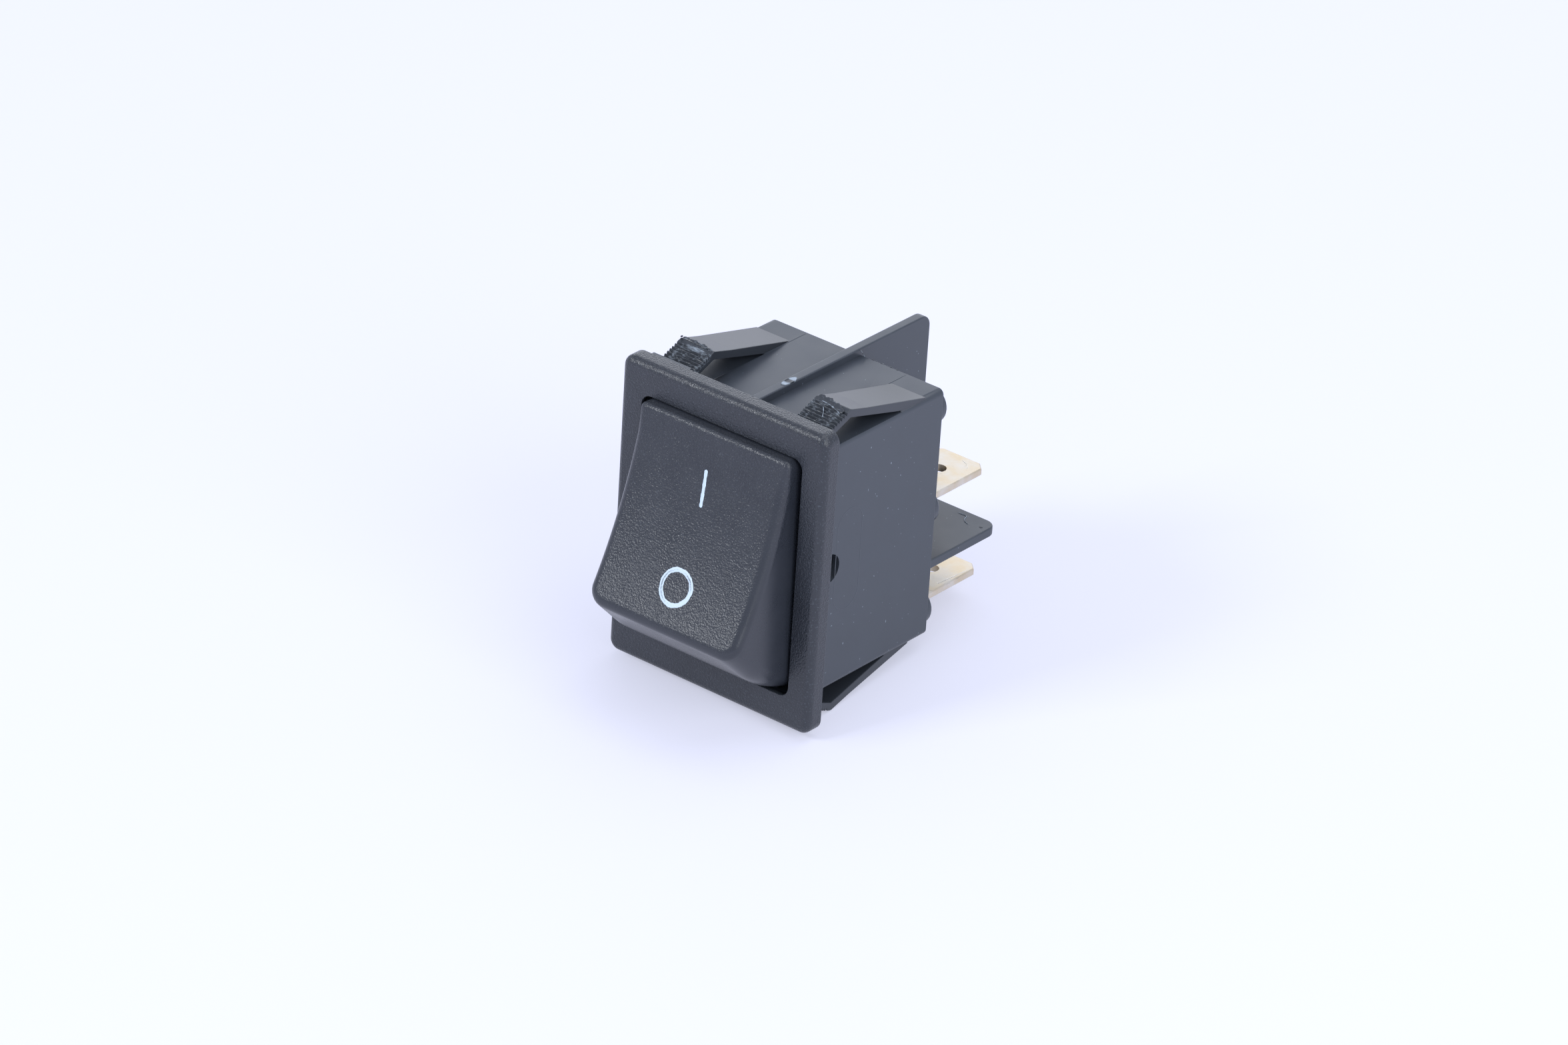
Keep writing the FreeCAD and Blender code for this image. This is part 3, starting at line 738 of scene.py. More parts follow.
@dataclass(frozen=True)
class HousingShell:
    """Bezel and body in one closed skin, with the well for the rocker, pivot holes and wing pockets.

    The bezel, the body and the well are given by half width, half height and corner radius.
    """

    plan: RingPlan = RingPlan(arc_steps=10, level_steps=6, upright_steps=8)
    bezel: tuple = (12.8, 16.35, 1.2)
    bezel_front: float = -2.1
    bezel_round: float = 0.8
    bezel_steps: int = 8
    bezel_rear_round: float = 0.1
    rear_steps: int = 3
    mouth_round: float = 0.08
    mouth_steps: int = 4
    lip_rear: float = -1.5
    inner_half_height: float = 13.2
    body: tuple = (10.9, 13.65, 0.65)
    body_rear: float = 18.7
    body_rear_round: float = 0.12
    body_steps: int = 4
    well: tuple = (10.05, 12.95, 1.1)
    well_end: float = 9.2
    chamber_half_height: float = 12.15
    chamber_end: float = 16.9
    pivot_depth: float = 2.1
    hole_radius: float = 1.57
    hole_sides: int = 64
    pocket_across: tuple = (6.15, 10.95)
    pocket_up: tuple = (13.65, 16.2)
    pocket_deep: tuple = (-0.4, 0.5)
    recess_across: tuple = (6.3, 11.0)
    recess_deep: tuple = (0.0, 12.2)
    recess_floor: float = 13.42
    recess_round: float = 0.5
    clear: float = 1.0

    def rim(self, shape: tuple, depth: float, radius: float, forward: bool, steps: int) -> list:
        """Give the rings of one rounded rim, from a front face to its wall or from a wall to its rear face.

        Args:
            shape: Half width, half height and corner radius at the wall.
            depth: Depth of the face that the rim ends in.
            radius: Radius of the rim, below 0 where the material lies outside the wall.
            forward: The rim starts at the face, otherwise at the wall.
            steps: Steps along the rim.

        Returns:
            The rings, each (N, 3).
        """
        way = 1 if forward else -1
        rings = []
        for step in np.linspace(0, math.pi / 2, steps + 1)[::way]:
            inset, past = radius * (1 - math.sin(step)), radius * (1 - math.cos(step))
            rings.append(self.plan.ring(*(size - inset for size in shape), depth + way * past))
        return rings

    def rings(self) -> tuple[np.ndarray, np.ndarray]:
        """Give the rings from the chamber's floor over the bezel to the rear face, and 1 for a grained row."""
        width, height, corner = self.well
        inner = [self.plan.ring(width, half, corner, depth) for half, depth in (
            (self.chamber_half_height, self.chamber_end), (self.chamber_half_height, self.well_end),
            (self.inner_half_height, self.well_end), (self.inner_half_height, self.lip_rear),
            (height, self.lip_rear))]
        face = self.rim(self.well, self.bezel_front, -self.mouth_round, False, self.mouth_steps)
        face += self.rim(self.bezel, self.bezel_front, self.bezel_round, True, self.bezel_steps)
        rear = self.rim(self.bezel, 0.0, self.bezel_rear_round, False, self.rear_steps)
        rear.append(self.plan.ring(*self.body, 0.0))
        rear += self.rim(self.body, self.body_rear, self.body_rear_round, False, self.body_steps)
        return np.stack(inner + face + rear), np.repeat([0, 1, 0], [len(inner), len(face), len(rear) - 1])

    def cutters(self) -> list:
        """Give the pieces that are cut out: the pivot hole, and under each wing a pocket and a recess."""
        angle = circle(self.hole_sides)
        hole = self.hole_radius * np.stack([np.cos(angle), np.sin(angle)], axis=1) + [self.pivot_depth, 0]
        reach = self.body[0] + self.clear
        found = [skin("hole", plate_rings(hole, (-reach, reach), Along.X), [])]
        pocket, recess = np.array([self.pocket_across, self.pocket_up]).T, self.recess_across
        for side in Side:
            for level in (-1, 1):
                box = rectangle(*(pocket * [side.value, level]))
                found.append(skin("pocket", plate_rings(box, self.pocket_deep, Along.Y), []))
                bed = rectangle((side.value * recess[0], self.recess_deep[0]),
                                (side.value * recess[1], self.recess_deep[1]), self.recess_round)
                rings = plate_rings(bed, (self.recess_floor, self.body[1] + self.clear), Along.Z)
                found.append(skin("recess", rings * np.array([1, 1, level]), []))
        return found

    def build(self, smooth: Material, grained: Material) -> None:
        """Make the shell in place of the solid housing, with grain on the face and rounds of the bezel."""
        rings, picks = self.rings()
        item = skin("housing_shell", rings, [smooth, grained], picks=picks)
        carve(item, self.cutters())
        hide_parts("housing")


@dataclass(frozen=True)
class Barriers:
    """The keying ribs with the upright barrier, the cross barrier and the partition inside."""

    half_thickness: float = 0.55
    top: float = 14.45
    inside: float = 13.3
    front: float = 0.0
    start: float = 18.3
    rear: float = 29.6
    corner: float = 1.3
    edge: float = 0.16
    cross_half_width: float = 10.78
    cross_height: float = -5.85
    cross_half_thickness: float = 0.5
    cross_setback: float = 0.04
    partition_front: float = 10.0
    partition_rear: float = 17.2
    partition_half_height: float = 12.4

    def wall(self, name: str, outline: np.ndarray, middle: float, half: float, along: Along,
             finish: Material) -> None:
        """Make one wall, half thick on each side of its middle."""
        rings = plate_rings(outline, (middle - half, middle + half), along, self.edge, EDGE_STEPS)
        skin(name, rings, [finish], ends=Ends.FLAT)

    def build(self, finish: Material) -> None:
        """Make the walls and the partition between the poles inside."""
        upright = rounded_outline([(self.front, self.top, 0), (self.rear, self.top, self.corner),
                                   (self.rear, -self.top, self.corner), (self.front, -self.top, 0),
                                   (self.front, -self.inside, 0), (self.start, -self.inside, 0),
                                   (self.start, self.inside, 0), (self.front, self.inside, 0)])
        self.wall("rib_and_barrier", upright, 0.0, self.half_thickness, Along.X, finish)
        half, rear = self.cross_half_width, self.rear - self.cross_setback
        level = rounded_outline([(-half, self.start, 0), (-half, rear, self.corner),
                                 (half, rear, self.corner), (half, self.start, 0)])
        self.wall("cross_barrier", level, self.cross_height, self.cross_half_thickness, Along.Z, finish)
        inside = rectangle((self.partition_front, -self.partition_half_height),
                           (self.partition_rear, self.partition_half_height))
        self.wall("pole_partition", inside, 0.0, self.cross_half_thickness, Along.X, finish)


@dataclass(frozen=True)
class TerminalPads:
    """Six raised pads with round ends on the rear face."""

    half_height: float = 2.0
    inner: float = 2.4
    outer: float = 8.8
    base: float = 18.2
    reach: float = 19.65
    edge: float = 0.3
    rows: tuple = (-11.3, 0.0, 11.1)
    arc_points: int = 17

    def build(self, finish: Material) -> None:
        """Make the pads."""
        for side in Side:
            for index, row in enumerate(self.rows):
                arcs = []
                for start, place in ((-90, self.outer), (90, self.inner)):
                    angle = np.radians(np.linspace(start, start + 180, self.arc_points))
                    arcs.append(np.stack([side.value * (place + self.half_height * np.cos(angle)),
                                          row + self.half_height * np.sin(angle)], axis=1))
                rings = plate_rings(np.concatenate(arcs), (self.base, self.reach), Along.Y, self.edge, EDGE_STEPS)
                skin(f"pad_{side.word}_{index + 1}", rings, [finish], ends=Ends.FLAT)


@dataclass(frozen=True)
class SnapWing:
    """One springy wing with a ridged slope."""

    side: Side
    level: int
    inner: float = 6.4
    outer: float = 10.7
    base: float = 13.65
    root: float = 16.0
    knee: tuple = (6.9, 2.2)
    peak: tuple = (4.2, 2.95)
    tip: tuple = (0.75, 1.65)
    thickness: float = 0.9
    slot_end: float = 12.2
    ridges: int = 8
    rise: float = 0.25
    floor: float = 0.7
    depth: float = 0.24
    edge: float = 0.09
    edge_steps: int = 2
    shoulder: float = 0.5
    knee_round: float = 1.2
    slot_ramp: float = 0.6
    slot_rise: float = 0.05
    slot_edge: float = -0.1
    sunk: float = -0.35
    ridge_points: int = 4
    stations: int = 90
    ragged: float = 0.03
    ragged_pace: float = 0.3
    ragged_lean: float = 0.35
    phases: tuple = (2.4, 2.1, 0.7)
    margins: tuple = (0.2, 0.1, 0.5)
    # Every crest is lightened: a painted highlight of the lit ridges, with a little scrape wear.
    crest_sheen_and_wear: float = 0.42
    crest_sheen_pace: float = 0.4
    crest_sheen_waver: float = 0.3
    scrape_height: float = 0.9

    def inward(self) -> np.ndarray:
        """Give the direction into the wing, square to its slope."""
        run = np.array(self.tip) - np.array(self.peak)
        return unit(np.array([-run[1], run[0]]))

    def slope(self) -> np.ndarray:
        """Give the ridged slope (N, 2) in depth and height above the body, behind a rounded shoulder."""
        peak, tip = np.array(self.peak), np.array(self.tip)
        peak = peak + unit(tip - peak) * self.shoulder
        step = (tip - peak) / self.ridges
        points = []
        for index in range(self.ridges):
            crest = peak + step * index
            points += [crest, crest + step * self.rise * 0.5, crest + step * self.rise,
                       crest + step * self.floor + self.inward() * self.depth]
        return np.array(points + [tip])

    def outline(self) -> np.ndarray:
        """Give the side outline (N, 2) in depth and height."""
        slope = self.slope()
        under = [slope[-1] + self.inward() * self.thickness, (self.peak[0], self.peak[1] - self.thickness),
                 (self.slot_end - self.slot_ramp, self.slot_rise), (self.slot_end, self.slot_edge),
                 (self.slot_end, self.sunk), (self.root, self.sunk)]
        land = rounded_outline([(self.root, 0.0, 0), (*self.knee, self.knee_round),
                                (*self.peak, self.shoulder), (*slope[1], 0)])[:-1]
        return np.concatenate([land, slope, np.array(under)]) + np.array([0, self.base])

    def rings(self) -> np.ndarray:
        """Give the side outline at each station across, its ridges worn uneven by waves along X."""
        ends = plate_rings(self.outline(), (self.inner, self.outer), Along.X, self.edge, self.edge_steps)
        first, last = np.split(ends, 2)
        share = np.linspace(0, 1, self.stations + 2)[1:-1, None, None]
        rings = np.concatenate([first, first[-1] + (last[0] - first[-1]) * share, last])
        before, behind, under = self.margins
        ridged = (rings[..., 1] < self.peak[0] - before) & (rings[..., 1] > self.tip[0] - behind) & (
            rings[..., 2] > self.base + self.tip[1] - under)
        ridge = np.arange(rings.shape[1]) // self.ridge_points
        phase = self.phases[0] * ridge + self.phases[1] * self.side.value + self.phases[2] * self.level
        worn = waves(rings[..., 0] * self.ragged_pace, phase[None]) * self.ragged * ridged
        rings[..., 1] -= worn * self.ragged_lean
        rings[..., 2] += worn
        return rings

    def torn(self, rings: np.ndarray) -> np.ndarray:
        """Give how pale each point is: a painted highlight, with a little scrape wear, on every crest, and over
        each scrape s exp(-(dx/a)^2 - (dy/b)^2), the largest one.
        """
        floor = np.arange(rings.shape[1])[None] % self.ridge_points == self.ridge_points - 1
        crest = (rings[..., 1] < self.peak[0] - self.margins[0]) & ~floor
        # Painted highlight along the crests, partly scrape wear; the real scrapes are laid over it.
        values = self.crest_sheen_and_wear * crest * (1 + self.crest_sheen_waver * waves(rings[..., 0] * self.crest_sheen_pace))
        above = rings[..., 2] > self.base + self.scrape_height
        for x, y, wide, deep, strength in self.scrapes():
            spread = ((rings[..., 0] - x) / wide) ** 2 + ((rings[..., 1] - y) / deep) ** 2
            values = np.maximum(values, strength * np.exp(-spread) * above)
        return values

    def scrapes(self) -> tuple:
        """Give the scrapes of this wing: place across and in depth, reach in both, and strength."""
        if self.level < 0:
            return ((8.5, 2.6, 1.6, 0.8, 0.4),)
        if self.side is Side.RIGHT:
            return ((7.6, 3.7, 1.4, 0.4, 0.55), (9.8, 3.5, 0.8, 0.3, 0.6), (8.6, 2.0, 0.5, 1.2, 0.45),
                    (10.7, 6.3, 0.25, 0.8, 0.6), (8.4, 4.6, 2.4, 0.35, 0.42))
        return ((8.2, 3.6, 2.2, 0.5, 0.72), (8.8, 2.7, 1.6, 0.3, 0.5), (8.6, 1.0, 2.0, 0.25, 0.66),
                (6.6, 2.6, 0.3, 1.5, 0.45), (8.2, 4.7, 2.2, 0.3, 0.4))

    def build(self, finish: Material) -> None:
        """Make the wing."""
        rings = self.rings()
        values = self.torn(rings)
        rings = rings * np.array([self.side.value, 1, self.level])
        name = f"wing_{'upper' if self.level > 0 else 'lower'}_{self.side.word}"
        item = skin(name, rings, [finish], ends=Ends.FLAT)
        # The torn values include the painted highlight on the crests.
        carried(values.ravel(), "torn", item)


# Rocker


@dataclass(frozen=True)
class RockerCap:
    """The rocker: hollowed and textured front, soft edges, satin walls and an open foot.

    Its own frame has its origin at the pivot, with Y towards the back and Z up; the tilt turns it about X.
    """

    plan: RingPlan = RingPlan(arc_steps=8, level_steps=10, upright_steps=28)
    pivot: float = 2.1
    tilt: float = 20.5
    length: float = 20.3
    reach: float = 9.5
    hollow: float = 1.0
    end_radius: float = 13.08
    skirt: float = 2.0
    foot_half_width: float = 9.83
    draft: float = 0.5
    corner_front: float = 0.6
    corner_back: float = 2.0
    corner_blend: float = 5.0
    edge: float = 1.0
    fine_edge: float = 0.5
    fine_start: float = 7.0
    wall: float = 1.3
    grain_start: float = -2.0
    wall_rows: int = 25
    edge_steps: int = 8
    rim_rounds: int = 8
    inner_rows: int = 8
    probe: float = 0.2
    floor_gap: float = 0.2
    fade: float = 3
    rising: float = 0.7
    face_shares: tuple = (0.97, 0.9, 0.8, 0.7, 0.6, 0.5, 0.4, 0.3, 0.2, 0.1, 0.04)

    def place(self, points: np.ndarray) -> np.ndarray:
        """Turn points of the rocker's own frame into the frame at rest."""
        turn = math.radians(self.tilt)
        depth, height = points[..., 1], points[..., 2]
        return np.stack([points[..., 0], self.pivot + depth * math.cos(turn) + height * math.sin(turn),
                         height * math.cos(turn) - depth * math.sin(turn)], axis=-1)

    def front(self, height: np.ndarray) -> np.ndarray:
        """Give the depth of the front at a height, an arc hollow - reach - (R - sqrt(R^2 - z^2))."""
        half = self.length / 2
        radius = (half ** 2 + self.hollow ** 2) / (2 * self.hollow)
        return self.hollow - self.reach - (radius - np.sqrt(radius ** 2 - height ** 2))

    def half_width(self, depth: np.ndarray) -> np.ndarray:
        """Give the half width at a depth, with the draft of the sides."""
        return self.foot_half_width - self.draft * (self.skirt - depth) / (self.reach + self.skirt)

    def half_height(self, depth: np.ndarray) -> np.ndarray:
        """Give the half height at a depth: the swing about the pivot, then a straight stretch to the corner."""
        turn = math.radians(self.tilt)
        shoulder = np.array([-math.sin(turn), math.cos(turn)]) * self.end_radius
        share = (depth - shoulder[0]) / (-self.reach - shoulder[0])
        straight = shoulder[1] + share * (self.length / 2 - shoulder[1])
        swing = np.sqrt(np.maximum(self.end_radius ** 2 - depth ** 2, 0))
        return np.where(depth < shoulder[0], straight, swing)

    def outline(self, depth: np.ndarray, inset: float = 0.0) -> np.ndarray:
        """Give the wall's points for a depth of each point round it."""
        places, normals = self.plan.plan()
        share = np.where(places[:, 1] > 0, np.clip((depth + self.reach) / self.corner_blend, 0, 1), 1)
        corner = (self.corner_front + (self.corner_back - self.corner_front) * share)[:, None]
        inner = np.stack([self.half_width(depth), self.half_height(depth)], axis=1) - corner
        flat = places * inner + normals * (corner - inset)
        return np.stack([flat[:, 0], depth, flat[:, 1]], axis=1)

    def rim(self) -> np.ndarray:
        """Give the sharp corner between wall and front at each point round it."""
        depth = np.full(len(self.plan.plan()[0]), -self.reach)
        for _ in range(self.rim_rounds):
            depth = self.front(self.outline(depth)[:, 2])
        return self.outline(depth)

    def rings(self) -> tuple[np.ndarray, np.ndarray]:
        """Give every ring from inside the foot to the middle of the front, and how grained each point is."""
        rim = self.rim()
        normals = self.plan.plan()[1]
        foot = np.full(len(rim), self.skirt)
        share = np.linspace(0, 1, self.wall_rows)[:, None]
        depths = foot + share * (rim[:, 1] - foot)
        walls = np.stack([self.outline(row) for row in depths])
        back = unit(walls[-2] - walls[-1])
        inward = np.stack([-normals[:, 0], np.zeros(len(rim)), -normals[:, 1]], axis=1)
        probe = rim + inward * self.probe
        probe[:, 1] = self.front(probe[:, 2])
        ahead = unit(probe - rim)
        lifted = np.clip((rim[:, 2:] - self.fine_start) / (self.length / 2 - self.fine_start), 0, 1)
        edge = self.edge + (self.fine_edge - self.edge) * lifted
        turn = rounded_turn(rim, back, ahead, edge, self.edge_steps)
        face = turn[-1] * np.array([1, 0, 1]) * np.array(self.face_shares)[:, None, None]
        face[..., 1] = self.front(face[..., 2])
        rings = np.concatenate([self.inner_rings(), walls[:-3], turn, face])
        grained = np.zeros(rings.shape[:2])
        grained[-len(face):] = 1
        fade = np.linspace(0, 1, len(turn))[:, None] ** self.fade
        rising = np.clip((rim[:, 2] - self.grain_start) / (self.length / 2 - self.grain_start), 0, 1)
        grained[-len(face) - len(turn):-len(face)] = np.maximum(fade, rising[None] ** self.rising)
        return self.place(rings), grained

    def inner_rings(self) -> np.ndarray:
        """Give the rings of the hollow behind, from its floor to the edge of the foot."""
        count = len(self.plan.plan()[0])
        floor = self.hollow - self.reach + self.wall + self.floor_gap
        return np.stack([self.outline(np.full(count, depth), self.wall)
                         for depth in np.linspace(floor, self.skirt, self.inner_rows)])

    def build(self, finish: Material) -> None:
        """Make the cap in place of the solid rocker."""
        rings, grained = self.rings()
        item = skin("rocker_cap", rings, [finish], Body.ROCKER)
        carried(np.append(grained.ravel(), [0, 1]), "grained", item)
        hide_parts("rocker")


@dataclass(frozen=True)
class RockerInside:
    """Pivot pins, stems for the springs and stiffening ribs behind the front."""

    cap: RockerCap = field(default_factory=RockerCap)
    pin_radius: float = 1.5
    pin_start: float = 8.9
    pin_end: float = 9.95
    pin_chamfer: float = 0.3
    pin_dish: tuple = (0.45, 0.08)
    stem_radius: float = 2.15
    bore_radius: float = 1.48
    web: float = -8.0
    bore_floor: float = -2.6
    stem_end: float = 6.0
    stem_break: float = 0.15
    bore_break: float = 0.1
    rib_half: float = 0.45
    rib_front: float = -7.3
    rib_back: float = -1.2
    rib_edge: float = 0.1
    rib_edge_steps: int = 2
    rib_half_width: float = 8.6
    rib_half_height: float = 10.2

    def ribs(self, finish: Material) -> None:
        """Make one rib across both stems and one along each."""
        spans = [("rib_across", -self.rib_half_width, self.rib_half_width, self.rib_half)]
        spans += [(f"rib_{side.word}", side.value * POLE - self.rib_half, side.value * POLE + self.rib_half,
                   self.rib_half_height) for side in Side]
        for name, left, right, reach in spans:
            box = rectangle((left, -reach), (right, reach))
            rings = plate_rings(box, (self.rib_front, self.rib_back), Along.Y, self.rib_edge, self.rib_edge_steps)
            skin(name, self.cap.place(rings), [finish], Body.ROCKER, Ends.FLAT)

    def build(self, finish: Material) -> None:
        """Make the ribs, the pins and the stems."""
        self.ribs(finish)
        pin = [(self.pin_radius, self.pin_start), (self.pin_radius, self.pin_end - self.pin_chamfer),
               (self.pin_radius - self.pin_chamfer, self.pin_end),
               (self.pin_dish[0], self.pin_end - self.pin_dish[1])]
        stem = [(self.stem_radius, self.web), (self.stem_radius, self.stem_end - self.stem_break),
                (self.stem_radius - self.stem_break, self.stem_end),
                (self.bore_radius + self.bore_break, self.stem_end),
                (self.bore_radius, self.stem_end - self.bore_break), (self.bore_radius, self.bore_floor)]
        for side in Side:
            rings = turned_rings(pin, (0, self.cap.pivot, 0), (side.value, 0, 0))
            skin(f"pivot_pin_{side.word}", rings, [finish], Body.ROCKER)
            rings = self.cap.place(turned_rings(stem, (side.value * POLE, 0, 0), (0, 1, 0)))
            skin(f"stem_{side.word}", rings, [finish], Body.ROCKER)


@dataclass(frozen=True)
class CoilSpring:
    """The coil that presses one plunger, wound closer at its ends."""

    side: Side
    cap: RockerCap = field(default_factory=RockerCap)
    start: float = -2.38
    end: float = 3.32
    mean_radius: float = 1.12
    wire_radius: float = 0.17
    turns: float = 7.0
    closing: float = 0.55
    steps: int = 336
    sides: int = 10
    stroke: float = 0.8

    def rings(self) -> np.ndarray:
        """Give the wire's rings: the helix rises by h (s - c sin(2 pi s) / 2 pi) for s from 0 to 1."""
        share = np.linspace(0, 1, self.steps)
        rise = share - self.closing * np.sin(2 * math.pi * share) / (2 * math.pi)
        angle = 2 * math.pi * self.turns * share
        outward = np.stack([np.cos(angle), np.zeros(self.steps), np.sin(angle)], axis=1)
        middle = outward * self.mean_radius
        middle[:, 0] += self.side.value * POLE
        middle[:, 1] = self.start + (self.end - self.start) * rise
        section = circle(self.sides)[None, :, None]
        along = np.array([0.0, 1.0, 0.0])
        return middle[:, None] + self.wire_radius * (outward[:, None] * np.cos(section) + along * np.sin(section))

    def build(self, finish: Material) -> None:
        """Make the coil in place of the solid spring."""
        item = skin(f"coil_spring_{self.side.word}", self.cap.place(self.rings()), [finish], Body.ROCKER)
        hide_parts(f"spring_{self.side.word}")
        ends = self.cap.place(np.array([[self.side.value * POLE, self.start - self.wire_radius, 0.0],
                                        [self.side.value * POLE, self.end + self.wire_radius, 0.0]]))
        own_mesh(item)


@dataclass(frozen=True)
class PrintedMarks:
    """The line and the ring printed on the rocker's front."""

    cap: RockerCap = field(default_factory=RockerCap)
    ring_place: tuple = (0.29, -5.62)
    ring_radius: float = 1.748
    ring_half_width: float = 0.238
    ring_wobble: tuple = ((0.02, 3, 1), (0.012, 11, 0))
    ring_waver: tuple = ((0.07, 7, 0), (0.05, 23, 2))
    thin_crown: tuple = (-0.15, 0.26)
    thin_arcs: tuple = ((3.2, 1.3), (0.7, 0.7))
    line_start: tuple = (-0.056, 6.34)
    line_end: tuple = (0.275, 2.58)
    line_half_width: float = 0.19
    line_steps: int = 48
    line_ragged: float = 0.13
    line_sides: int = 12
    line_blunt: int = 30
    thickness: float = 0.022
    steps: int = 128
    sides: int = 16

    def ring(self, finish: Material) -> None:
        """Make the ring: a flat band round its middle, whose edges waver and whose crown is thin in places."""
        turn = circle(self.steps)[:, None]
        angle = circle(self.sides)[None]
        half = self.ring_half_width * (1 + ripple(turn, self.ring_waver))
        radius = self.ring_radius + ripple(turn, self.ring_wobble) + half * np.cos(angle)
        x = self.ring_place[0] + radius * np.cos(turn)
        z = self.ring_place[1] + radius * np.sin(turn)
        y = self.cap.front(z) - self.thickness * np.sin(angle)
        rings = self.cap.place(np.stack([x, y, z], axis=-1))
        item = skin("printed_ring", rings, [finish], Body.ROCKER, Ends.JOINED, weighted=False)
        crown = np.exp(-((np.cos(angle) - self.thin_crown[0]) / self.thin_crown[1]) ** 2)
        window = np.max([np.exp(-((turn - middle) / reach) ** 2) for middle, reach in self.thin_arcs], axis=0)
        carried((crown * window).ravel(), "thin", item)

    def line(self, finish: Material) -> None:
        """Make the line: a straight stroke with slightly ragged edges."""
        (x, z), (last_x, last_z) = self.line_start, self.line_end
        path = between((x, 0, z), (last_x, 0, last_z), self.line_steps)
        path[:, 1] = self.cap.front(path[:, 2])
        rings = strand(path, self.line_half_width, self.thickness, (0, -1, 0), self.line_ragged,
                       self.line_sides, self.line_blunt)
        item = skin("printed_line", self.cap.place(rings), [finish], Body.ROCKER, weighted=False)
        carried(np.zeros(len(item.data.vertices)), "thin", item)

    def build(self, finish: Material) -> None:
        """Make both marks."""
        self.ring(finish)
        self.line(finish)


@dataclass(frozen=True)
class Thread:
    """One thin strand laid on a surface: a burr, a flap, a scratch or a hair; sizes are half sizes."""

    name: str
    first: tuple
    last: tuple
    width: float
    thickness: float
    up: tuple = (0, 0, 1)
    steps: int = 20
    bow: tuple = (0, 0, 0)
    torn: float = 0.0
    ragged: float = 0.3
    slot: str = ""

    def path(self) -> np.ndarray:
        """Give the points along the strand."""
        return between(self.first, self.last, self.steps, self.bow)

    def build(self, finish: Material) -> None:
        """Make the strand, torn pale by the share given."""
        item = skin(self.name, strand(self.path(), self.width, self.thickness, self.up, self.ragged), [finish])
        if self.torn:
            carried(np.full(len(item.data.vertices), self.torn), "torn", item)


@dataclass(frozen=True)
class CurlyHair(Thread):
    """A hair that winds on its way by swing sin(t s) on each axis, with t its turns and s from 0 to 1."""

    swing: float = 0.3
    turns: tuple = (6, 5, 0)

    def path(self) -> np.ndarray:
        """Give the points along the hair."""
        share = np.linspace(0, 1, self.steps)[:, None]
        start, run = np.array(self.first), np.array(self.last) - np.array(self.first)
        return start + run * share + self.swing * np.sin(share * np.array(self.turns))


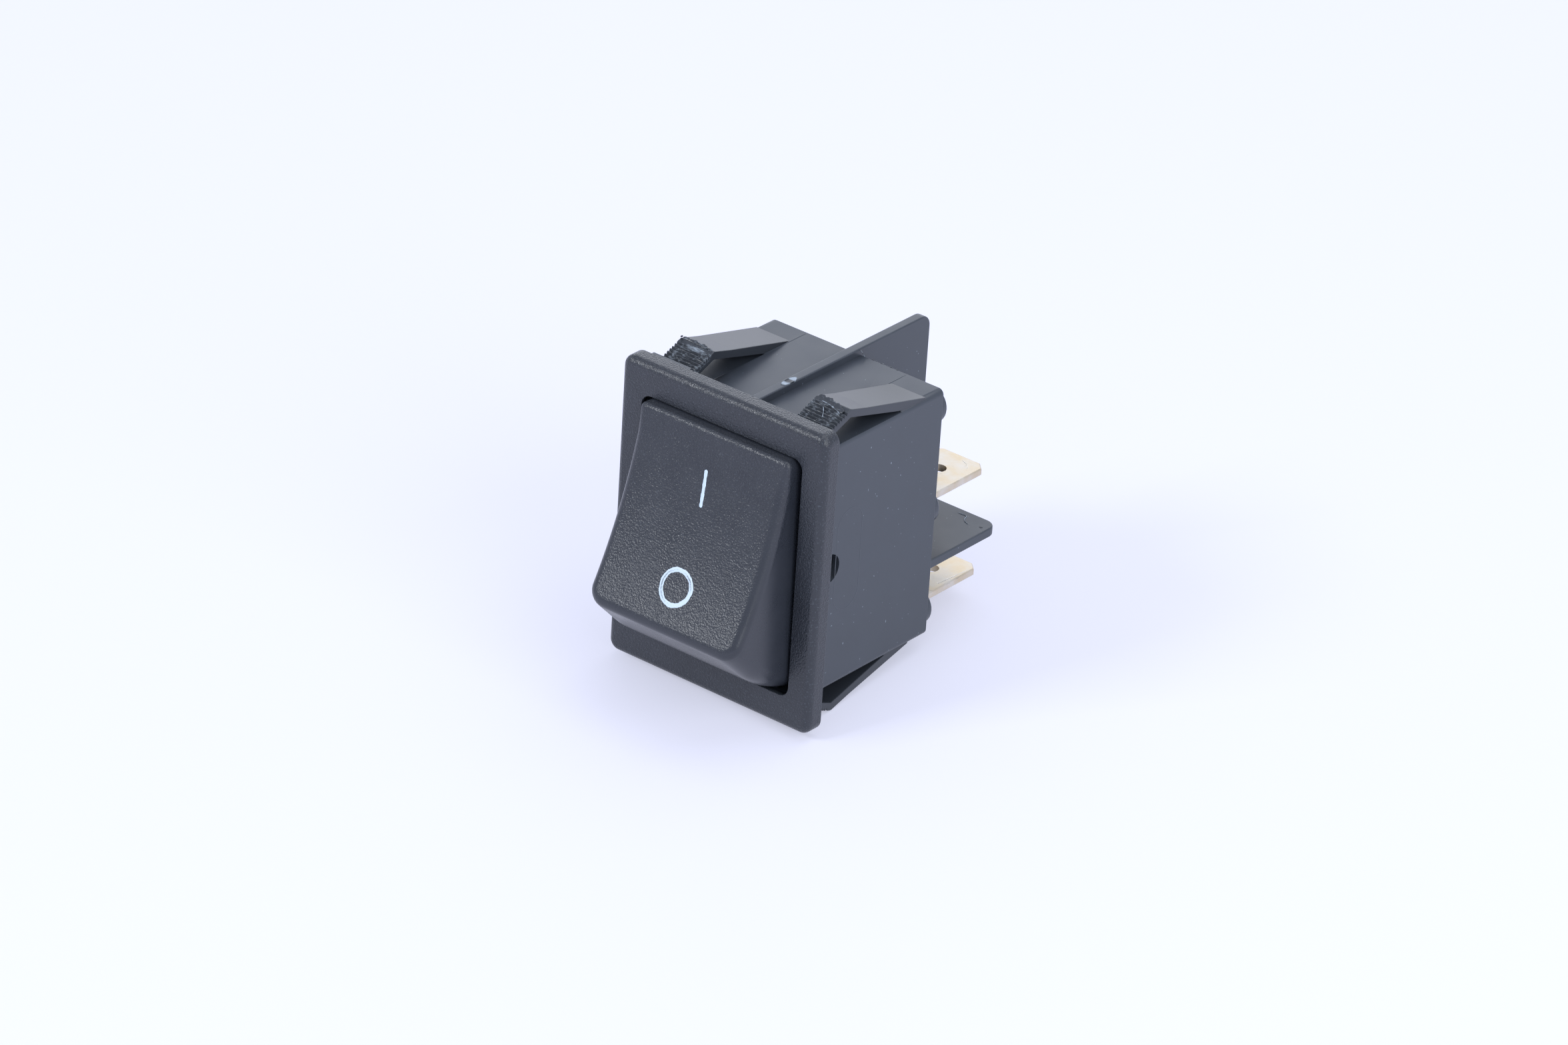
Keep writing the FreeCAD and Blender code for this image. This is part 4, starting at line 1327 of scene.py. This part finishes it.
@dataclass(frozen=True)
class Wear:
    """Moulding scar, burrs, threads and scratches where the switch shows them."""

    scar_place: tuple = (0.12, 7.88, 14.45)
    scar_reach: tuple = (0.42, 1.15)
    scar_profile: tuple = ((1.0, -0.06), (0.97, 0.04), (0.9, 0.07), (0.78, 0.03), (0.5, 0.0), (0.2, 0.012))
    scar_steps: int = 40
    scar_waver: tuple = ((0.04, 5, 0),)
    scar_tears: tuple = (0.75, -0.7)
    scar_tear_reach: float = 0.5
    scar_torn: float = 1.1
    wing_marks: tuple = (
        Thread("wing_burr", (-10.8, 4.5, 16.55), (-10.35, 3.9, 17.0), 0.12, 0.08, (0, -0.5, 0.8), 8, torn=0.5),
        Thread("wing_curl", (-10.5, 4.35, 16.66), (-6.6, 4.1, 16.6), 0.16, 0.06, (0, -0.4, 0.9), 40,
               (0, 0.1, 0.05), 0.5, 0.7),
        Thread("wing_flap", (6.6, 4.2, 16.55), (10.3, 3.4, 16.4), 0.34, 0.07, (0, -0.6, 0.8), 40,
               (0, 0.2, 0.06), 0.4),
        Thread("wing_flap_edge", (7.4, 3.75, 16.5), (10.2, 3.1, 16.3), 0.045, 0.04, (0, -0.5, 0.85), 40,
               (0, 0.15, 0.06), 0.7, 0.6),
        Thread("wing_scratch", (8.0, 3.26, 16.27), (8.85, 2.05, 15.82), 0.04, 0.04, (0, -0.35, 0.94), 14,
               (0.1, 0, 0), 0.75))
    rear_edge: tuple = (18.66, 13.64)
    rear_rise: tuple = (0.04, -0.03)
    rear_size: tuple = (0.06, 0.045)
    rear_burrs: tuple = ((1.8, 0.32), (2.35, 0.14), (2.95, 0.4), (3.7, 0.12), (4.15, 0.3), (4.9, 0.2))
    barrier_marks: tuple = (
        Thread("barrier_thread", (0.5, 18.45, 14.3), (1.3, 18.3, 13.7), 0.04, 0.04,
               bow=(0.15, -0.2, 0.2), torn=0.55),
        CurlyHair("barrier_hair", (6.4, 28.6, -5.32), (8.8, 27.7, -5.32), 0.028, 0.03, steps=48, torn=0.95))
    barrier_nick: Thread = Thread("barrier_nick", (9.85, 27.7, -5.34), (10.1, 27.95, -5.34), 0.08, 0.05, steps=6)
    mould_line: tuple = (6.3, 12.0, 18.6, 13.65)
    mould_size: tuple = (0.045, 0.03)
    tab_marks: tuple = (
        Thread("tab_hair", (6.2, 28.9, 0.4), (7.75, 27.7, 0.4), 0.03, 0.02,
               bow=(0.25, 0.1, 0), slot="silvered_brass"),
        Thread("tab_streak", (8.1, 23.6, -10.9), (8.5, 28.2, -10.9), 0.05, 0.015, slot="silvered_brass"))
    insert_place: tuple = (10.9, 5.0, 0.15)
    insert_half_width: float = 1.9
    insert_half_height: float = 5.55
    insert_line: float = 0.05
    insert_rise: float = 0.012
    insert_points: tuple = (96, 6)

    def scar(self, finish: Material) -> None:
        """Make the oval scar of the gate on the top rib: a rim round a shallow dish, torn at both ends."""
        turn = circle(self.scar_steps)
        rings = []
        for share, height in self.scar_profile:
            reach = share * (1 + ripple(turn, self.scar_waver))
            rings.append(np.stack([self.scar_place[0] + self.scar_reach[0] * reach * np.cos(turn),
                                   self.scar_place[1] + self.scar_reach[1] * reach * np.sin(turn),
                                   np.full(len(turn), self.scar_place[2] + height)], axis=1))
        item = skin("gate_scar", np.stack(rings), [finish])
        along = np.array([vertex.co[1] for vertex in item.data.vertices]) / MM - self.scar_place[1]
        away = np.min([np.abs(along - tear) for tear in self.scar_tears], axis=0)
        carried(self.scar_torn * np.exp(-(away / self.scar_tear_reach) ** 2), "torn", item)

    def burrs(self, torn: Material, nylon: Material) -> None:
        """Make the burrs and scratches on the housing, and the four lines where the mould's parts met."""
        for mark in self.wing_marks:
            mark.build(torn)
        for index, (x, length) in enumerate(self.rear_burrs):
            y, z = self.rear_edge
            Thread(f"rear_burr_{index + 1}", (x, y, z), (x + length, y + self.rear_rise[0], z + self.rear_rise[1]),
                   *self.rear_size, up=(0, 1, 0.3), steps=8, torn=0.45).build(torn)
        for mark in self.barrier_marks:
            mark.build(torn)
        self.barrier_nick.build(nylon)
        across, front, rear, height = self.mould_line
        for side in Side:
            for level, word in ((1, "upper"), (-1, "lower")):
                x, z = side.value * across, level * height
                Thread(f"mould_line_{word}_{side.word}", (x, front, z), (x, rear, z), *self.mould_size,
                       steps=16, ragged=0.1).build(nylon)

    def insert_outlines(self, finish: Material) -> None:
        """Make the faint raised outline of the mould's insert on both sides of the body."""
        turn = circle(self.insert_points[0])[:, None]
        angle = circle(self.insert_points[1])[None]
        reach = self.insert_half_width + self.insert_line * np.cos(angle)
        straight = self.insert_half_height - self.insert_half_width
        y = self.insert_place[1] + reach * np.cos(turn)
        z = self.insert_place[2] + reach * np.sin(turn) + np.sign(np.sin(turn)) * straight
        for side in Side:
            x = side.value * (self.insert_place[0] + self.insert_rise * np.sin(angle))
            rings = np.stack([np.broadcast_to(x, y.shape), y, z], axis=-1)
            skin(f"insert_outline_{side.word}", rings, [finish], ends=Ends.JOINED)

    def build(self, finishes: Finishes) -> None:
        """Make every mark of wear."""
        self.scar(finishes.torn)
        self.burrs(finishes.torn, finishes.nylon)
        self.insert_outlines(finishes.nylon)
        for mark in self.tab_marks:
            mark.build(finishes.silver)


# Studio


@dataclass(frozen=True)
class Studio:
    """Pale floor, soft lights and the camera at the photo's angle."""

    turn: float = 37.64
    lift: float = 27.9
    roll: float = 3.685
    lens: float = 166.65
    sensor: float = 36.0
    sight: float = 10.0
    place: tuple = (5.403, 1.591, 705.9)
    room: str = "#e4ebff"
    room_strength: float = 0.8
    lamp_colour: tuple = (0.93, 0.96, 1.0)
    lamps: tuple = (("key", (-0.3, -0.54, 0.42), (0.22, 0.22), 2.8),
                    ("overhead", (0.1, 0.15, 0.6), (0.5, 0.5), 1.4),
                    ("back", (-0.36, 0.56, 0.2), (0.7, 0.26), 1.05),
                    ("right", (0.5, -0.12, 0.28), (0.4, 0.4), 2.0))
    aim: tuple = (0, 0.01, 0)
    floor_front: tuple = (4.2, -16.64)
    floor_rear: tuple = (28.42, -14.47)
    floor_reach: float = 2000.0

    def camera(self) -> None:
        """Set the camera."""
        turn, lift, roll = (math.radians(value) for value in (self.turn, self.lift, self.roll))
        back = Vector((math.sin(turn) * math.cos(lift), -math.cos(turn) * math.cos(lift), math.sin(lift)))
        right = Vector((math.cos(turn), math.sin(turn), 0.0))
        above = back.cross(right)
        across = right * math.cos(roll) + above * math.sin(roll)
        up = above * math.cos(roll) - right * math.sin(roll)
        data = bpy.data.cameras.new("camera")
        data.lens = self.lens
        data.sensor_width = self.sensor
        data.clip_end = self.sight
        item = linked("camera", data)
        place = (across * self.place[0] + up * self.place[1] + back * self.place[2]) * MM
        item.matrix_world = Matrix.Translation(place) @ Matrix((across, up, back)).transposed().to_4x4()
        bpy.context.scene.camera = item

    def floor(self) -> None:
        """Lay the floor under the two lower wings and the rear corner of the barrier."""
        front, rear, reach = self.floor_front, self.floor_rear, self.floor_reach
        slope = (rear[1] - front[1]) / (rear[0] - front[0])
        corners = [(x, y, front[1] + slope * (y - front[0])) for x, y in
                   ((-reach, -reach), (reach, -reach), (reach, reach), (-reach, reach))]
        mesh = bpy.data.meshes.new("floor")
        mesh.from_pydata([(x * MM, y * MM, z * MM) for x, y, z in corners], [], [[0, 1, 2, 3]])
        mesh.materials.append(FloorPaper().build())
        linked("floor", mesh)

    def lights(self) -> None:
        """Hang the soft lamps and fill the room with pale light."""
        world = bpy.data.worlds.new("room")
        world.use_nodes = True
        background = world.node_tree.nodes["Background"]
        background.inputs["Color"].default_value = linear(self.room)
        background.inputs["Strength"].default_value = self.room_strength
        bpy.context.scene.world = world
        for name, place, size, power in self.lamps:
            data = bpy.data.lights.new(name, "AREA")
            data.shape = "RECTANGLE"
            data.size, data.size_y = size
            data.energy = power
            data.color = self.lamp_colour
            item = linked(name, data)
            item.location = place
            item.rotation_euler = (Vector(self.aim) - item.location).to_track_quat("-Z", "Y").to_euler()
        bpy.context.scene.view_settings.view_transform = "Standard"

    def build(self) -> None:
        """Set up the whole studio."""
        self.camera()
        self.floor()
        self.lights()


def main() -> None:
    """Build the picture piece by piece."""
    logging.basicConfig(level=logging.INFO, format="%(message)s")
    finishes = Finishes()
    HousingShell().build(finishes.nylon, finishes.spark)
    Barriers().build(finishes.nylon)
    TerminalPads().build(finishes.nylon)
    for side in Side:
        for level in (1, -1):
            SnapWing(side, level).build(finishes.torn)
        for node, finish in (("common_terminal", finishes.silvered), ("contact_terminal", finishes.silvered),
                             ("fixed_contact", finishes.silver), ("moving_contact", finishes.silver),
                             ("contact_lever", finishes.copper), ("plunger", finishes.acetal)):
            dress(f"{node}_{side.word}", finish)
        CoilSpring(side).build(finishes.steel)
    RockerCap().build(finishes.faded)
    RockerInside().build(finishes.satin)
    PrintedMarks().build(finishes.ink)
    Wear().build(finishes)
    Studio().build()


if __name__ == "__main__":
    main()
